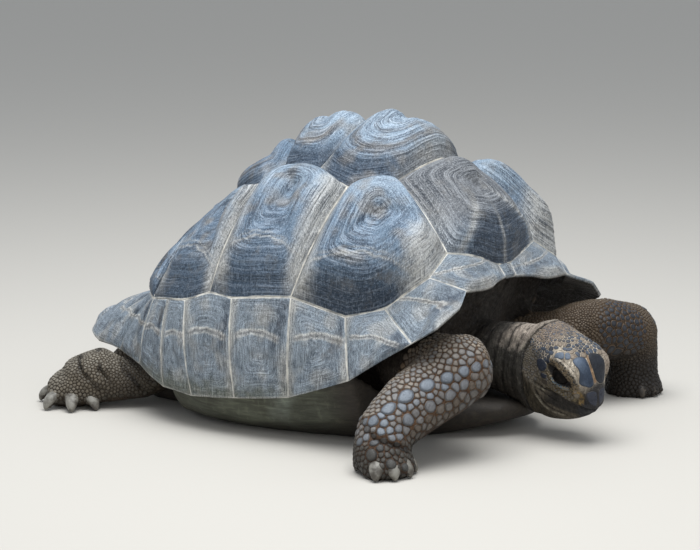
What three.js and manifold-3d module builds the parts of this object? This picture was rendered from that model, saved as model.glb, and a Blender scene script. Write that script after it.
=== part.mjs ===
// Giant tortoise, life size, as a still model: a domed shell of horn plates over the trunk,
// with the neck, head, legs and tail that come out of its openings.
// Points are written [forward, right, up] in millimetres and turned to x = -right, y = -forward, z = up.

import * as THREE from 'three';
import { mergeVertices } from 'three/addons/utils/BufferGeometryUtils.js';
import Module from 'manifold-3d';

const wasm = await Module();
wasm.setup();

// Driving dimensions, in millimetres and degrees.
const gap = 0.4;                  // clearance between neighbouring parts
const shellPitch = 2.15;          // the front of the shell stands higher
const shellRoll = 4.7;            // the right side of the shell stands higher
const shellRise = 9.6;            // lift of the tilted shell above the floor
const plateThickness = 15;        // horn with the bone under it
const rimThickness = 7;           // at the free edge of the shell
const seamStep = 62;              // spacing of points along a seam
const domeRadius = 380;           // mean curvature of the shell along a seam
const domeCentre = [0, 0, 100];
const domeSize = [480, 340, 430]; // half length, half width and height of the dome
const headLength = 172;
const eyeDetail = 6;
const eyeRadius = 19;

const colours = {
  horn: [0x5f6a75, 0.62],
  skin: [0x6e6255, 0.82],
  beak: [0x6a5f4c, 0.5],
  eye: [0x120f0d, 0.08],
  belly: [0x8a8168, 0.7],
};

function material(kind) {
  const [color, roughness] = colours[kind];
  return new THREE.MeshStandardMaterial({ color, roughness, metalness: 0 });
}

const toFrame = ([forward, right, up]) => new THREE.Vector3(-right, -forward, up);
const mirror = ([forward, right, up]) => [forward, -right, up];
const radians = THREE.MathUtils.degToRad;
const lerp = THREE.MathUtils.lerp;
const mix = (a, b, t) => a.map((value, i) => lerp(value, b[i], t));
const add = (a, b, scale = 1) => a.map((value, i) => value + b[i] * scale);
const distance = (a, b) => Math.hypot(...add(a, b, -1));
const unit = (v) => v.map((value) => value / Math.hypot(...v));
const cross = (a, b) => [
  a[1] * b[2] - a[2] * b[1],
  a[2] * b[0] - a[0] * b[2],
  a[0] * b[1] - a[1] * b[0],
];
const centre = (points) => points.reduce((sum, p) => add(sum, p, 1 / points.length), [0, 0, 0]);

// ---- Solids from rings of points --------------------------------------------------------------

// Joins rings of equal length into one closed body and closes both ends with a fan.
function loft(rings, startPoint = centre(rings[0]), endPoint = centre(rings.at(-1))) {
  const count = rings[0].length;
  const points = [...rings.flat(), startPoint, endPoint];
  const start = points.length - 2;
  const last = (rings.length - 1) * count;
  const triangles = [];
  for (let i = 0; i < count; i++) {
    const next = (i + 1) % count;
    for (let k = 0; k < rings.length - 1; k++) {
      const [low, high] = [k * count, (k + 1) * count];
      triangles.push(...quad(points, [low + i, low + next, high + next, high + i]));
    }
    triangles.push([start, next, i], [start + 1, last + i, last + next]);
  }
  return closed(points, triangles);
}

// Two triangles that split a four-sided face along its shorter diagonal.
function quad(points, [a, b, c, d]) {
  const alongFirst = distance(points[a], points[c]) < distance(points[b], points[d]);
  return alongFirst ? [[a, b, c], [a, c, d]] : [[a, b, d], [b, c, d]];
}

// A closed three.js geometry, turned so that its faces point out.
function closed(points, triangles) {
  const frame = points.map(toFrame);
  let volume = 0;
  for (const [a, b, c] of triangles) {
    volume += frame[a].dot(new THREE.Vector3().crossVectors(frame[b], frame[c]));
  }
  const outward = volume > 0 ? triangles : triangles.map(([a, b, c]) => [a, c, b]);
  const geometry = new THREE.BufferGeometry();
  geometry.setAttribute('position', new THREE.Float32BufferAttribute(frame.flatMap((p) => p.toArray()), 3));
  geometry.setIndex(outward.flat());
  return geometry;
}

function toSolid(geometry) {
  const bare = geometry.clone();
  bare.deleteAttribute('normal');
  bare.deleteAttribute('uv');
  const merged = mergeVertices(bare, 1e-3);
  const vertProperties = new Float32Array(merged.attributes.position.array);
  const triVerts = new Uint32Array(merged.index.array);
  return new wasm.Manifold(new wasm.Mesh({ numProp: 3, vertProperties, triVerts }));
}

function toGeometry(solid) {
  const mesh = solid.getMesh();
  const geometry = new THREE.BufferGeometry();
  geometry.setAttribute('position', new THREE.BufferAttribute(mesh.vertProperties, 3));
  geometry.setIndex(new THREE.BufferAttribute(mesh.triVerts, 1));
  return geometry;
}

const tortoise = new THREE.Group();

function addPart(name, geometry, kind) {
  const mesh = new THREE.Mesh(geometry, material(kind));
  mesh.name = name;
  tortoise.add(mesh);
}

// Everything below the floor is cut away, which leaves flats at one level.
const floorBlock = new THREE.BoxGeometry(3000, 3000, 400).translate(0, 0, -200);
const floorSolid = toSolid(floorBlock);

// ---- Shell ------------------------------------------------------------------------------------

// The shell is drawn level and symmetrical, then tilted as the animal carries it.
function tilt([forward, right, up]) {
  const [pitch, roll] = [radians(shellPitch), radians(shellRoll)];
  const ahead = forward * Math.cos(pitch) - up * Math.sin(pitch);
  const high = forward * Math.sin(pitch) + up * Math.cos(pitch);
  const side = right * Math.cos(roll) - high * Math.sin(roll);
  return [ahead, side, right * Math.sin(roll) + high * Math.cos(roll) + shellRise];
}

// Where the seams between the plates meet, on the right side. A fourth number is a thickness of its own,
// where the bridge is thicker than the free edge.
const corners = {
  nuchalBack: [376, 24, 279],
  v1m1: [349, 173, 309],
  v1v2: [222, 132, 430],
  v1v2Mid: [244, 0, 467],
  c1c2Top: [136, 160, 417],
  v2v3: [55, 130, 442],
  v2v3Mid: [84, 0, 520],
  c2c3Top: [-44, 155, 418],
  v3v4: [-40, 106, 430],
  v3v4Mid: [-70, 0, 480],
  v4v5: [-150, 100, 368],
  v4v5Mid: [-203, 0, 376],
  c3c4Top: [-205, 122, 318],
  v5m11: [-335, 108, 194],
  v5Back: [-368, 50, 189],
  c1m2: [359, 255, 273],
  c1m3: [278, 270, 214],
  c1m4: [210, 291, 197],
  c1m5: [110, 313, 228],
  c2m6: [-17, 311, 219],
  c2c3Low: [-64, 311, 226],
  c3m7: [-126, 300, 208],
  c3m8: [-179, 280, 205],
  c3m9: [-232, 247, 200],
  c4m10: [-266, 203, 198],
  c4m11: [-302, 155, 197],
  nuchalEdge: [390, 22, 258],
  edge1Mid: [409, 115, 249],
  edge12: [406, 204, 248],
  edge2Front: [430, 272, 227],
  edge2Mid: [419, 334, 197],
  edge23: [364, 328, 164],
  edge3Mid: [302, 330, 127, 8],
  edge34: [236, 324, 88, 10],
  edge45: [110, 319, 48, 12],
  edge56: [-5, 319, 38, 12],
  edge67: [-105, 308, 33, 12],
  edge78: [-180, 290, 42, 10],
  edge89: [-262, 250, 74, 8],
  edge910: [-338, 206, 92],
  edge1011: [-425, 160, 103],
  edge11Mid: [-475, 108, 110],
  edge11Back: [-503, 60, 117],
  tailEdge: [-537, 0, 127],
};

const corner = (name, side = 1) => {
  const usual = /edge/i.test(name) ? rimThickness : plateThickness;
  const [forward, right, up, depth = usual] = corners[name];
  return [forward, side * right, up, depth];
};

// Outward direction of the shell at a point: the dome's own, and more upright at the flared rim.
function outward([forward, right, up]) {
  const point = [forward, right, up];
  const dome = unit(point.map((value, i) => (value - domeCentre[i]) / domeSize[i] ** 2));
  const flare = THREE.MathUtils.smoothstep(Math.abs(forward), 300, 470);
  const rim = unit([0.35 * Math.sign(forward), 0.2 * Math.sign(right), 0.9]);
  return unit(mix(dome, rim, flare));
}

// Points from one corner towards the next, the second corner left out, bowed out with the dome.
function seam(from, to) {
  const length = distance(from.slice(0, 3), to.slice(0, 3));
  const steps = Math.max(1, Math.round(length / seamStep));
  const bow = length ** 2 / (8 * domeRadius);
  const out = outward(mix(from.slice(0, 3), to.slice(0, 3), 0.5));
  return Array.from({ length: steps }, (_, i) => {
    const t = i / steps;
    const [forward, right, up, depth] = mix(from, to, t);
    return [...add([forward, right, up], out, 4 * bow * t * (1 - t)), depth];
  });
}

const outlineOf = (loop) => loop.flatMap((point, i) => seam(point, loop[(i + 1) % loop.length]));

// Draws an outline in by half the gap, each point along the bisector of its two edges.
function shrink(outline) {
  const middle = centre(outline.map((p) => p.slice(0, 3)));
  return outline.map((point, i) => {
    const before = outline.at(i - 1).slice(0, 3);
    const after = outline[(i + 1) % outline.length].slice(0, 3);
    const here = point.slice(0, 3);
    const out = outward(here);
    const sides = [add(here, before, -1), add(after, here, -1)].map((edge) => {
      const across = unit(cross(out, edge));
      const inward = add(middle, here, -1);
      const facing = across[0] * inward[0] + across[1] * inward[1] + across[2] * inward[2];
      return facing > 0 ? across : across.map((v) => -v);
    });
    return [...add(here, unit(add(sides[0], sides[1])), gap * 0.7), point[3]];
  });
}

const under = (outline, extra = 0) => outline.map(([forward, right, up, depth]) => {
  const point = [forward, right, up];
  return add(point, outward(point), -depth - extra);
});

// Middle of a plate's inner face, which follows the dome.
function innerMiddle(inner) {
  const middle = centre(inner);
  const reach = Math.max(...inner.map((p) => distance(p, middle)));
  return add(middle, outward(middle), reach ** 2 / (2.6 * domeRadius));
}

// One horn plate: steps up from the seam, swells to its growth centre, and has a thin closed inner face.
const plateRings = [0, 0.06, 0.34, 0.68];

function plate(name, loop, growthCentre, swell, step) {
  const outline = shrink(outlineOf(loop));
  const edge = outline.map((p) => p.slice(0, 3));
  const inner = under(outline);
  const outer = plateRings.map((t) => edge.map((point) => {
    const rise = step * Math.min(1, t / plateRings[1]) * (1 - t) + swell * 4 * t * (1 - t);
    return add(mix(point, growthCentre, t), outward(point), t === 0 ? 0 : rise);
  }));
  const geometry = loft([inner, ...outer].map((ring) => ring.map(tilt)), tilt(innerMiddle(inner)), tilt(growthCentre));
  addPart(name, geometry, 'horn');
}

const bothSides = (front, back) => [
  ...front.map((name) => corner(name)),
  ...back.map((name) => corner(name, -1)),
];

const vertebrals = [
  { right: ['nuchalBack', 'v1m1', 'v1v2'], back: 'v1v2Mid', growth: [318, 0, 420], swell: 16 },
  { front: 'v1v2Mid', right: ['v1v2', 'c1c2Top', 'v2v3'], back: 'v2v3Mid', growth: [166, 0, 541], swell: 20 },
  { front: 'v2v3Mid', right: ['v2v3', 'v3v4'], back: 'v3v4Mid', growth: [2, 0, 539], swell: 15 },
  { front: 'v3v4Mid', right: ['v3v4', 'c2c3Top', 'v4v5'], back: 'v4v5Mid', growth: [-124, 0, 456], swell: 16 },
  { front: 'v4v5Mid', right: ['v4v5', 'c3c4Top', 'v5m11', 'v5Back'], growth: [-275, 0, 318], swell: 10 },
];

const vertebralLoop = ({ front, right, back }) => [
  ...(front ? [corner(front)] : []),
  ...right.map((name) => corner(name)),
  ...(back ? [corner(back)] : []),
  ...right.toReversed().map((name) => corner(name, -1)),
];

const costals = [
  {
    loop: ['v1v2', 'v1m1', 'c1m2', 'c1m3', 'c1m4', 'c1m5', 'c1c2Top'],
    growth: { right: [242, 225, 388], left: [284, -198, 428] },
    swell: 26,
  },
  {
    loop: ['v2v3', 'c1c2Top', 'c1m5', 'c2m6', 'c2c3Low', 'c2c3Top', 'v3v4'],
    growth: { right: [45, 200, 419], left: [45, -200, 419] },
    swell: 20,
  },
  {
    loop: ['v4v5', 'c2c3Top', 'c2c3Low', 'c3m7', 'c3m8', 'c3m9', 'c3c4Top'],
    growth: { right: [-98, 200, 370], left: [-98, -200, 370] },
    swell: 10,
  },
  {
    loop: ['c3c4Top', 'c3m9', 'c4m10', 'c4m11', 'v5m11'],
    growth: { right: [-236, 168, 268], left: [-236, -168, 268] },
    swell: 8,
  },
];

const marginals = [
  ['nuchalBack', 'v1m1', 'c1m2', 'edge12', 'edge1Mid', 'nuchalEdge'],
  ['c1m2', 'c1m3', 'edge23', 'edge2Mid', 'edge2Front', 'edge12'],
  ['c1m3', 'c1m4', 'edge34', 'edge3Mid', 'edge23'],
  ['c1m4', 'c1m5', 'edge45', 'edge34'],
  ['c1m5', 'c2m6', 'edge56', 'edge45'],
  ['c2m6', 'c2c3Low', 'c3m7', 'edge67', 'edge56'],
  ['c3m7', 'c3m8', 'edge78', 'edge67'],
  ['c3m8', 'c3m9', 'edge89', 'edge78'],
  ['c3m9', 'c4m10', 'edge910', 'edge89'],
  ['c4m10', 'c4m11', 'edge1011', 'edge910'],
  ['c4m11', 'v5m11', 'v5Back', 'edge11Back', 'edge11Mid', 'edge1011'],
];

const sides = [['right', 1], ['left', -1]];
const flat = (loop) => centre(loop.map((p) => p.slice(0, 3)));

function addPlates() {
  vertebrals.forEach((plan, i) => plate(`vertebral_${i + 1}`, vertebralLoop(plan), plan.growth, plan.swell, 7));
  for (const [side, sign] of sides) {
    costals.forEach(({ loop, growth, swell }, i) => {
      plate(`costal_${side}_${i + 1}`, loop.map((name) => corner(name, sign)), growth[side], swell, 7);
    });
    marginals.forEach((names, i) => {
      const loop = names.map((name) => corner(name, sign));
      const middle = flat(loop);
      plate(`marginal_${side}_${i + 1}`, loop, add(middle, outward(middle), 10), 3, 3);
    });
  }
  const nuchal = [corner('nuchalBack'), corner('nuchalEdge'), corner('nuchalEdge', -1), corner('nuchalBack', -1)];
  plate('nuchal', nuchal, add(flat(nuchal), outward(flat(nuchal)), 4), 1, 1);
  const tailPlate = [
    corner('v5Back'), corner('edge11Back'), corner('tailEdge'), corner('edge11Back', -1), corner('v5Back', -1),
  ];
  plate('supracaudal', tailPlate, add(flat(tailPlate), outward(flat(tailPlate)), 12), 5, 3);
}

// ---- Trunk and belly shield -------------------------------------------------------------------

const rimSeam = [
  'nuchalBack', 'v1m1', 'c1m2', 'c1m3', 'c1m4', 'c1m5', 'c2m6', 'c2c3Low',
  'c3m7', 'c3m8', 'c3m9', 'c4m10', 'c4m11', 'v5m11', 'v5Back',
];

// The trunk fills the dome under the plates, then draws in towards the belly shield.
function trunkGeometry() {
  const depth = 1.2;
  const points = [];
  const triangles = [];
  const addFan = (ring, tip) => {
    const first = points.length;
    points.push(...ring, tip);
    ring.forEach((_, i) => triangles.push([first + ring.length, first + i, first + (i + 1) % ring.length]));
  };
  const loops = vertebrals.map(vertebralLoop);
  for (const [, sign] of sides) {
    for (const { loop } of costals) {
      const around = loop.map((name) => corner(name, sign));
      loops.push(sign > 0 ? around : around.reverse());
    }
  }
  for (const loop of loops) {
    const inner = under(outlineOf(loop), depth);
    addFan(inner, innerMiddle(inner));
  }
  const brim = under(outlineOf(bothSides(rimSeam, rimSeam.toReversed())), depth);
  const waist = brim.map(([f, r]) => [f * 0.88, r * 0.95, 125]);
  const floorRing = brim.map(([f, r]) => [f * 0.8, r * 0.82, 54]);
  const rings = [brim, waist, floorRing];
  const first = points.length;
  points.push(...rings.flat());
  for (let i = 0; i < brim.length; i++) {
    const next = (i + 1) % brim.length;
    for (let k = 0; k < rings.length - 1; k++) {
      const [low, high] = [first + k * brim.length, first + (k + 1) * brim.length];
      triangles.push(...quad(points, [low + i, low + next, high + next, high + i]));
    }
  }
  addFan(floorRing.toReversed(), [0, 0, 54]);
  return { points: points.map(tilt), triangles };
}

// Faces of a fan and of a band can be wound differently, so the winding is spread from face to face.
function orient({ points, triangles }) {
  const key = (p) => p.map((v) => Math.round(v * 100)).join();
  const names = new Map();
  const index = points.map((p) => {
    if (!names.has(key(p))) names.set(key(p), names.size);
    return names.get(key(p));
  });
  const faces = triangles.map((t) => t.map((i) => index[i]));
  const byEdge = new Map();
  faces.forEach((face, f) => face.forEach((a, k) => {
    const edge = [a, face[(k + 1) % 3]].sort((x, y) => x - y).join();
    byEdge.set(edge, [...(byEdge.get(edge) ?? []), f]);
  }));
  const done = new Set([0]);
  const queue = [0];
  while (queue.length > 0) {
    const f = queue.pop();
    faces[f].forEach((a, k) => {
      const b = faces[f][(k + 1) % 3];
      for (const g of byEdge.get([a, b].sort((x, y) => x - y).join())) {
        if (done.has(g)) continue;
        const sameWay = faces[g].some((c, j) => c === a && faces[g][(j + 1) % 3] === b);
        if (sameWay) {
          faces[g].reverse();
          triangles[g].reverse();
        }
        done.add(g);
        queue.push(g);
      }
    });
  }
  return closed(points, triangles);
}

// The belly shield: front lobe, bridges up to the side plates, rear lobe. Half widths, heights and edge heights
// at stations from front to back.
const bellyStations = [
  { forward: 441, flat: 20, half: 42, bottom: 14, side: 24, top: 33 },
  { forward: 418, flat: 45, half: 84, bottom: 0, side: 22, top: 36 },
  { forward: 362, flat: 70, half: 120, bottom: -16, side: 14, top: 38 },
  { forward: 296, flat: 110, half: 158, bottom: -30, side: 10, top: 40 },
  { forward: 236, flat: 190, half: 316, bottom: -34, side: 83, top: 36 },
  { forward: 110, flat: 205, half: 314, bottom: -36, side: 44, top: 36 },
  { forward: -5, flat: 205, half: 314, bottom: -36, side: 34, top: 36 },
  { forward: -105, flat: 170, half: 303, bottom: -36, side: 29, top: 36 },
  { forward: -176, flat: 130, half: 278, bottom: -34, side: 36, top: 36 },
  { forward: -216, flat: 105, half: 158, bottom: -30, side: 12, top: 40 },
  { forward: -310, flat: 95, half: 138, bottom: -26, side: 8, top: 38 },
  { forward: -372, flat: 60, half: 92, bottom: -16, side: 12, top: 36 },
  { forward: -392, flat: 20, half: 46, bottom: -6, side: 14, top: 34 },
];

function bellySection({ forward, flat, half, bottom, side, top }, grow) {
  const outer = [
    [flat, bottom - grow],
    [lerp(flat, half, 0.7), lerp(bottom, side, 0.42) - 2 * grow],
    [half + 2 * grow, side],
    [half - 10 + grow, Math.max(side, top - 3) - 1 + grow],
    [Math.min(half * 0.78, half - 24), top + grow],
  ];
  const right = outer.map(([r, u]) => [forward, r, u]);
  return [...right, ...right.toReversed().map(mirror)];
}

function bellyShield(grow = 0) {
  const rings = bellyStations.map((station) => bellySection(station, grow).map(tilt));
  const tips = [rings[0], rings.at(-1)].map((ring, i) => add(centre(ring), [i === 0 ? 2 * grow : -2 * grow, 0, 0]));
  return toSolid(loft(rings, ...tips));
}

// ---- Flesh ------------------------------------------------------------------------------------

// A body swept along stations [forward, right, up, half width, half height], with rounded ends.
function sweep(stations, { sides: count = 12, start = 0.5, end = 0.5, grow = 0 } = {}) {
  const at = stations.map((s) => s.slice(0, 3));
  const whole = unit(add(at.at(-1), at[0], -1));
  const upright = Math.abs(whole[2]) > 0.7 ? [1, 0, 0] : [0, 0, 1];
  const rings = stations.map(([f, r, u, width, height], i) => {
    const along = unit(add(at[Math.min(i + 1, at.length - 1)], at[Math.max(i - 1, 0)], -1));
    const across = unit(cross(upright, along));
    const high = cross(along, across);
    return { middle: [f, r, u], along, across, high, width: width + grow, height: height + grow };
  });
  const ringPoints = ({ middle, along, across, high, width, height }, scale = 1, shift = 0) =>
    Array.from({ length: count }, (_, i) => {
      const angle = (2 * Math.PI * i) / count;
      const side = add(add(middle, along, shift), across, width * scale * Math.cos(angle));
      return add(side, high, height * scale * Math.sin(angle));
    });
  const cap = (ring, bulge, sign) => (bulge === 0 ? [] : [0.5, 0.87]).map((t) => {
    const reach = bulge * Math.min(ring.width, ring.height) * t * sign;
    return ringPoints(ring, Math.sqrt(1 - t * t), reach);
  });
  const [head, tail] = [rings[0], rings.at(-1)];
  const tip = (ring, bulge, sign) => add(ring.middle, ring.along, sign * bulge * Math.min(ring.width, ring.height));
  const all = [...cap(head, start, -1).reverse(), ...rings.map((ring) => ringPoints(ring)), ...cap(tail, end, 1)];
  return toSolid(loft(all, tip(head, start, -1), tip(tail, end, 1)));
}

// Broad nails around the front of a foot, from inside the flesh down and out to the floor.
function claws({ foot, heading, angles, reach, length, width }) {
  return angles.map((turn) => {
    const angle = radians(heading + turn);
    const out = [Math.cos(angle), Math.sin(angle), 0];
    const place = (distanceOut, up) => [...add([foot[0], foot[1], up], out, distanceOut)];
    return sweep([
      [...place(reach - 12, 34), width * 0.4, 12],
      [...place(reach + length * 0.4, 20), width / 2, 11],
      [...place(reach + length, 5), width * 0.36, 6],
    ], { sides: 6, start: 0, end: 0 });
  });
}

// The largest body of a cut solid, without slivers left beside it.
const mainBody = (solid) => solid.decompose().sort((a, b) => b.volume() - a.volume())[0];
const union = (solids) => solids.reduce((sum, solid) => sum.add(solid));

const forelegs = {
  right: {
    upper: [[225, 150, 134, 66, 56], [300, 188, 146, 66, 58], [362, 206, 154, 58, 55], [402, 212, 158, 46, 46]],
    lower: [[424, 200, 160, 54, 54], [404, 216, 154, 61, 60], [370, 290, 114, 60, 57], [342, 360, 76, 52, 50]],
    foot: [[338, 366, 84, 46, 46], [342, 386, 46, 50, 50], [346, 396, 14, 53, 53], [346, 396, -10, 50, 50]],
    heading: 8,
    reach: 46,
  },
  left: {
    upper: [[225, -150, 114, 62, 52], [300, -186, 122, 60, 52], [362, -206, 130, 54, 50], [392, -216, 132, 44, 44]],
    lower: [[378, -206, 130, 50, 50], [396, -236, 132, 56, 54], [440, -312, 138, 56, 50], [466, -360, 128, 54, 52]],
    foot: [[468, -362, 122, 46, 48], [466, -374, 66, 50, 51], [466, -378, 16, 53, 53], [466, -378, -10, 50, 50]],
    heading: -14,
    reach: 46,
  },
};

const hindlegs = {
  right: {
    upper: [[-190, 110, 105, 56, 46], [-250, 150, 78, 54, 44], [-296, 178, 56, 50, 40]],
    lower: [[-292, 178, 52, 46, 38], [-335, 206, 49, 51, 42], [-366, 226, 58, 56, 55], [-398, 240, 49, 56, 48]],
    foot: [[-380, 238, 42, 50, 42], [-410, 252, 32, 52, 38], [-438, 256, 26, 48, 38]],
    heading: 105,
    reach: 48,
  },
  left: {
    upper: [[-190, -100, 88, 52, 38], [-250, -128, 60, 48, 34], [-292, -142, 42, 44, 32]],
    lower: [[-290, -142, 40, 42, 30], [-340, -150, 41, 46, 34], [-384, -160, 42, 46, 34], [-412, -168, 36, 48, 33]],
    foot: [[-390, -162, 30, 46, 32], [-420, -172, 22, 52, 27], [-446, -177, 12, 50, 22]],
    heading: -105,
    reach: 44,
  },
};

const headPose = { at: [463, 6, 184], yaw: 14.5, pitch: -38, roll: -7.7 };

// Head space: along the skull, to the right and upwards from the middle of the nape.
function headPoint([along, right, up]) {
  const [yaw, pitch, roll] = [headPose.yaw, headPose.pitch, headPose.roll].map(radians);
  const ahead = [Math.cos(yaw) * Math.cos(pitch), Math.sin(yaw) * Math.cos(pitch), Math.sin(pitch)];
  const level = [-Math.sin(yaw), Math.cos(yaw), 0];
  const crown = cross(ahead, level);
  const across = add(level.map((v) => v * Math.cos(roll)), crown, Math.sin(roll));
  const high = cross(ahead, across);
  return add(add(add(headPose.at, ahead, along), across, right), high, up);
}

// Stations along the skull: position, half width, top and bottom, and how square the section is.
const skull = [
  { along: -14, half: 36, top: 24, bottom: -60, square: 0.9 },
  { along: 4, half: 50, top: 42, bottom: -80, square: 0.9 },
  { along: 34, half: 57, top: 50, bottom: -92, square: 0.86 },
  { along: 66, half: 59, top: 54, bottom: -102, square: 0.82 },
  { along: 92, half: 57, top: 55, bottom: -97, square: 0.74 },
  { along: 113, half: 52, top: 50, bottom: -86, square: 0.7 },
  { along: 132, half: 41, top: 36, bottom: -72, square: 0.78 },
  { along: 150, half: 31, top: 20, bottom: -58, square: 0.84 },
  { along: 163, half: 22, top: 2, bottom: -44, square: 0.9 },
];

function skullSection({ along, half, top, bottom, square }, grow = 0) {
  const count = 16;
  const [middle, height] = [(top + bottom) / 2, (top - bottom) / 2];
  return Array.from({ length: count }, (_, i) => {
    const angle = (2 * Math.PI * (i + 0.5)) / count;
    const [c, s] = [Math.cos(angle), Math.sin(angle)];
    const full = (v) => Math.sign(v) * Math.abs(v) ** square;
    return headPoint([along, (half + grow) * full(c), middle + (height + grow) * full(s)]);
  });
}

const skullSolid = (grow = 0) => toSolid(loft(
  skull.map((station) => skullSection(station, grow)),
  headPoint([skull[0].along - 12 - grow, 0, 0]),
  headPoint([headLength + grow, 0, -24]),
));

// The mouth rises from its corner and runs level to the tip of the beak: positions along the skull and heights.
const mouth = [[76, -58], [104, -36], [132, -27], [220, -20]];
const eyeCentre = [95, 38, 10];

// All of head space in front of the corner of the mouth and below its line.
function belowMouth(grow = 0) {
  const [side, floorHeight] = [80, -150];
  return toSolid(loft(mouth.map(([along, up], i) => {
    const at = i === 0 ? along - grow : along;
    return [[-side, floorHeight], [side, floorHeight], [side, up + grow], [-side, up + grow]]
      .map(([right, height]) => headPoint([at, right, height]));
  })));
}

function ball(radius, point) {
  const place = toFrame(headPoint(point));
  return new THREE.SphereGeometry(radius, 2 * eyeDetail, eyeDetail).translate(place.x, place.y, place.z);
}

function addHead() {
  const blob = skullSolid();
  const sockets = sides.map(([, sign]) => toSolid(ball(eyeRadius + gap, mirrorTo(eyeCentre, sign))));
  addPart('head', toGeometry(blob.subtract(belowMouth(gap)).subtract(union(sockets))), 'skin');
  addPart('lower_jaw', toGeometry(blob.intersect(belowMouth())), 'beak');
  for (const [side, sign] of sides) {
    addPart(`eye_${side}`, ball(eyeRadius, mirrorTo(eyeCentre, sign)), 'eye');
  }
}

const mirrorTo = (point, sign) => (sign > 0 ? point : mirror(point));

const neckStations = [
  [230, 0, 138, 74, 54], [300, 0, 138, 68, 58], [360, 0, 137, 64, 62],
  [410, 2, 133, 62, 71], [446, 6, 128, 62, 78], [480, 13, 112, 57, 75],
];
const tailStations = [[-300, 0, 92, 38, 30], [-400, 0, 78, 32, 26], [-455, 4, 56, 22, 20], [-492, 10, 34, 12, 12]];

function addFlesh() {
  const trunk = orient(trunkGeometry());
  addPart('trunk', trunk, 'skin');
  addPart('plastron', toGeometry(bellyShield().subtract(floorSolid)), 'belly');
  const middle = new THREE.Vector3(0, 0, 150);
  const grownTrunk = trunk.clone().translate(-middle.x, -middle.y, -middle.z).scale(1.005, 1.005, 1.005);
  const body = toSolid(grownTrunk.translate(middle.x, middle.y, middle.z)).add(bellyShield(gap));
  const neck = sweep(neckStations, { sides: 14 }).subtract(body).subtract(skullSolid(gap));
  addPart('neck', toGeometry(mainBody(neck)), 'skin');
  addPart('tail', toGeometry(mainBody(sweep(tailStations, { sides: 10 }).subtract(body))), 'skin');
  for (const [side] of sides) {
    const fore = forelegs[side];
    addLeg(`foreleg_${side}`, fore, body, {
      foot: fore.foot.at(-1), angles: [-56, -28, 0, 28, 56], length: 14, width: 24,
    });
    const hind = hindlegs[side];
    addLeg(`hindleg_${side}`, hind, body, {
      foot: hind.foot[1], angles: [-85, -46, -2, 65], length: 23, width: 28,
    });
  }
}

// The lower leg takes in the foot and its claws; the upper leg stops short of it and of the trunk.
function addLeg(name, { upper, lower, foot, heading, reach }, body, toes) {
  const flesh = (grow) => sweep(lower, { grow, end: 0.9 }).add(sweep(foot, { grow, start: 0 }));
  const nails = union(claws({ ...toes, heading, reach }));
  const lowerLeg = flesh(0).add(nails).subtract(floorSolid).subtract(body);
  const upperLeg = sweep(upper).subtract(body).subtract(flesh(gap));
  addPart(`${name}_lower`, toGeometry(mainBody(lowerLeg)), 'skin');
  addPart(`${name}_upper`, toGeometry(mainBody(upperLeg)), 'skin');
}

addPlates();
addFlesh();
addHead();

// The origin is at the middle of the base.
const box = new THREE.Box3().setFromObject(tortoise);
const middle = box.getCenter(new THREE.Vector3());
tortoise.position.set(-middle.x, -middle.y, -box.min.z);

export default tortoise;
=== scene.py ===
import math
import random
import time

import bmesh
import bpy
import numpy as np
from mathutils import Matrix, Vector, noise
from mathutils.bvhtree import BVHTree
from mathutils.kdtree import KDTree


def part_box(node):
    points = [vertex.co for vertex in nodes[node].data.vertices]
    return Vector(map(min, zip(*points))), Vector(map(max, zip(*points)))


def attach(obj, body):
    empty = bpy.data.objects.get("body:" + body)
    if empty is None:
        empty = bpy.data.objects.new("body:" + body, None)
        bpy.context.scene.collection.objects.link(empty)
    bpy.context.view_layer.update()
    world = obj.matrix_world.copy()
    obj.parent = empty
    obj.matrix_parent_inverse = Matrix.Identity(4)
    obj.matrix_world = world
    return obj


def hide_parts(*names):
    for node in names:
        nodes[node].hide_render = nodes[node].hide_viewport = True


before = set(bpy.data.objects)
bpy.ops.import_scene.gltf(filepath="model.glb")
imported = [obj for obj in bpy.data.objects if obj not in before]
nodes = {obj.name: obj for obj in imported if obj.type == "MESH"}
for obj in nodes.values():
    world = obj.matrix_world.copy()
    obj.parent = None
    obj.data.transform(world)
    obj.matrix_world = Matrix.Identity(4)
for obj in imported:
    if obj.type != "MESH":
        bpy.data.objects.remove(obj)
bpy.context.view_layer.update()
clock = time.time()


def report(stage):
    print(f"{stage} ({time.time() - clock:.0f} s)")


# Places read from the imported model, and the axes of the head and body.

def middle(node):
    low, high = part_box(node)
    return (low + high) / 2


def spot(node, across, along, up):  # a place in a node's box, each from 0 to 1
    low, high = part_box(node)
    return Vector(l + (h - l) * f for l, h, f in zip(low, high, (across, along, up)))


headTurn = {"yaw": 14.5, "pitch": -38.0, "eyeAhead": 95, "eyeUp": 10}  # degrees and mm from the nape


def headAxes():
    yaw, pitch = math.radians(headTurn["yaw"]), math.radians(headTurn["pitch"])
    ahead = Vector((-math.sin(yaw) * math.cos(pitch), -math.cos(yaw) * math.cos(pitch), math.sin(pitch)))
    right = (middle("eye_right") - middle("eye_left")).normalized()
    ahead = (ahead - right * ahead.dot(right)).normalized()
    return ahead, right, right.cross(ahead)


headAhead, headRight, headUp = headAxes()
eyeMiddle = (middle("eye_right") + middle("eye_left")) / 2
headOrigin = eyeMiddle - headAhead * (headTurn["eyeAhead"] / 1000) - headUp * (headTurn["eyeUp"] / 1000)
headAxesArray = np.array([headAhead, headRight, headUp])
bodyShift = headOrigin - Vector((-0.006, -0.463, 0.184))  # the model's middle against the body's


def headSpot(along, right, up):  # mm along the skull, to its right and up
    return headOrigin + (headAhead * along + headRight * right + headUp * up) / 1000


def toHead(co):
    return (co - np.array(headOrigin)) @ headAxesArray.T * 1000


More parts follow.
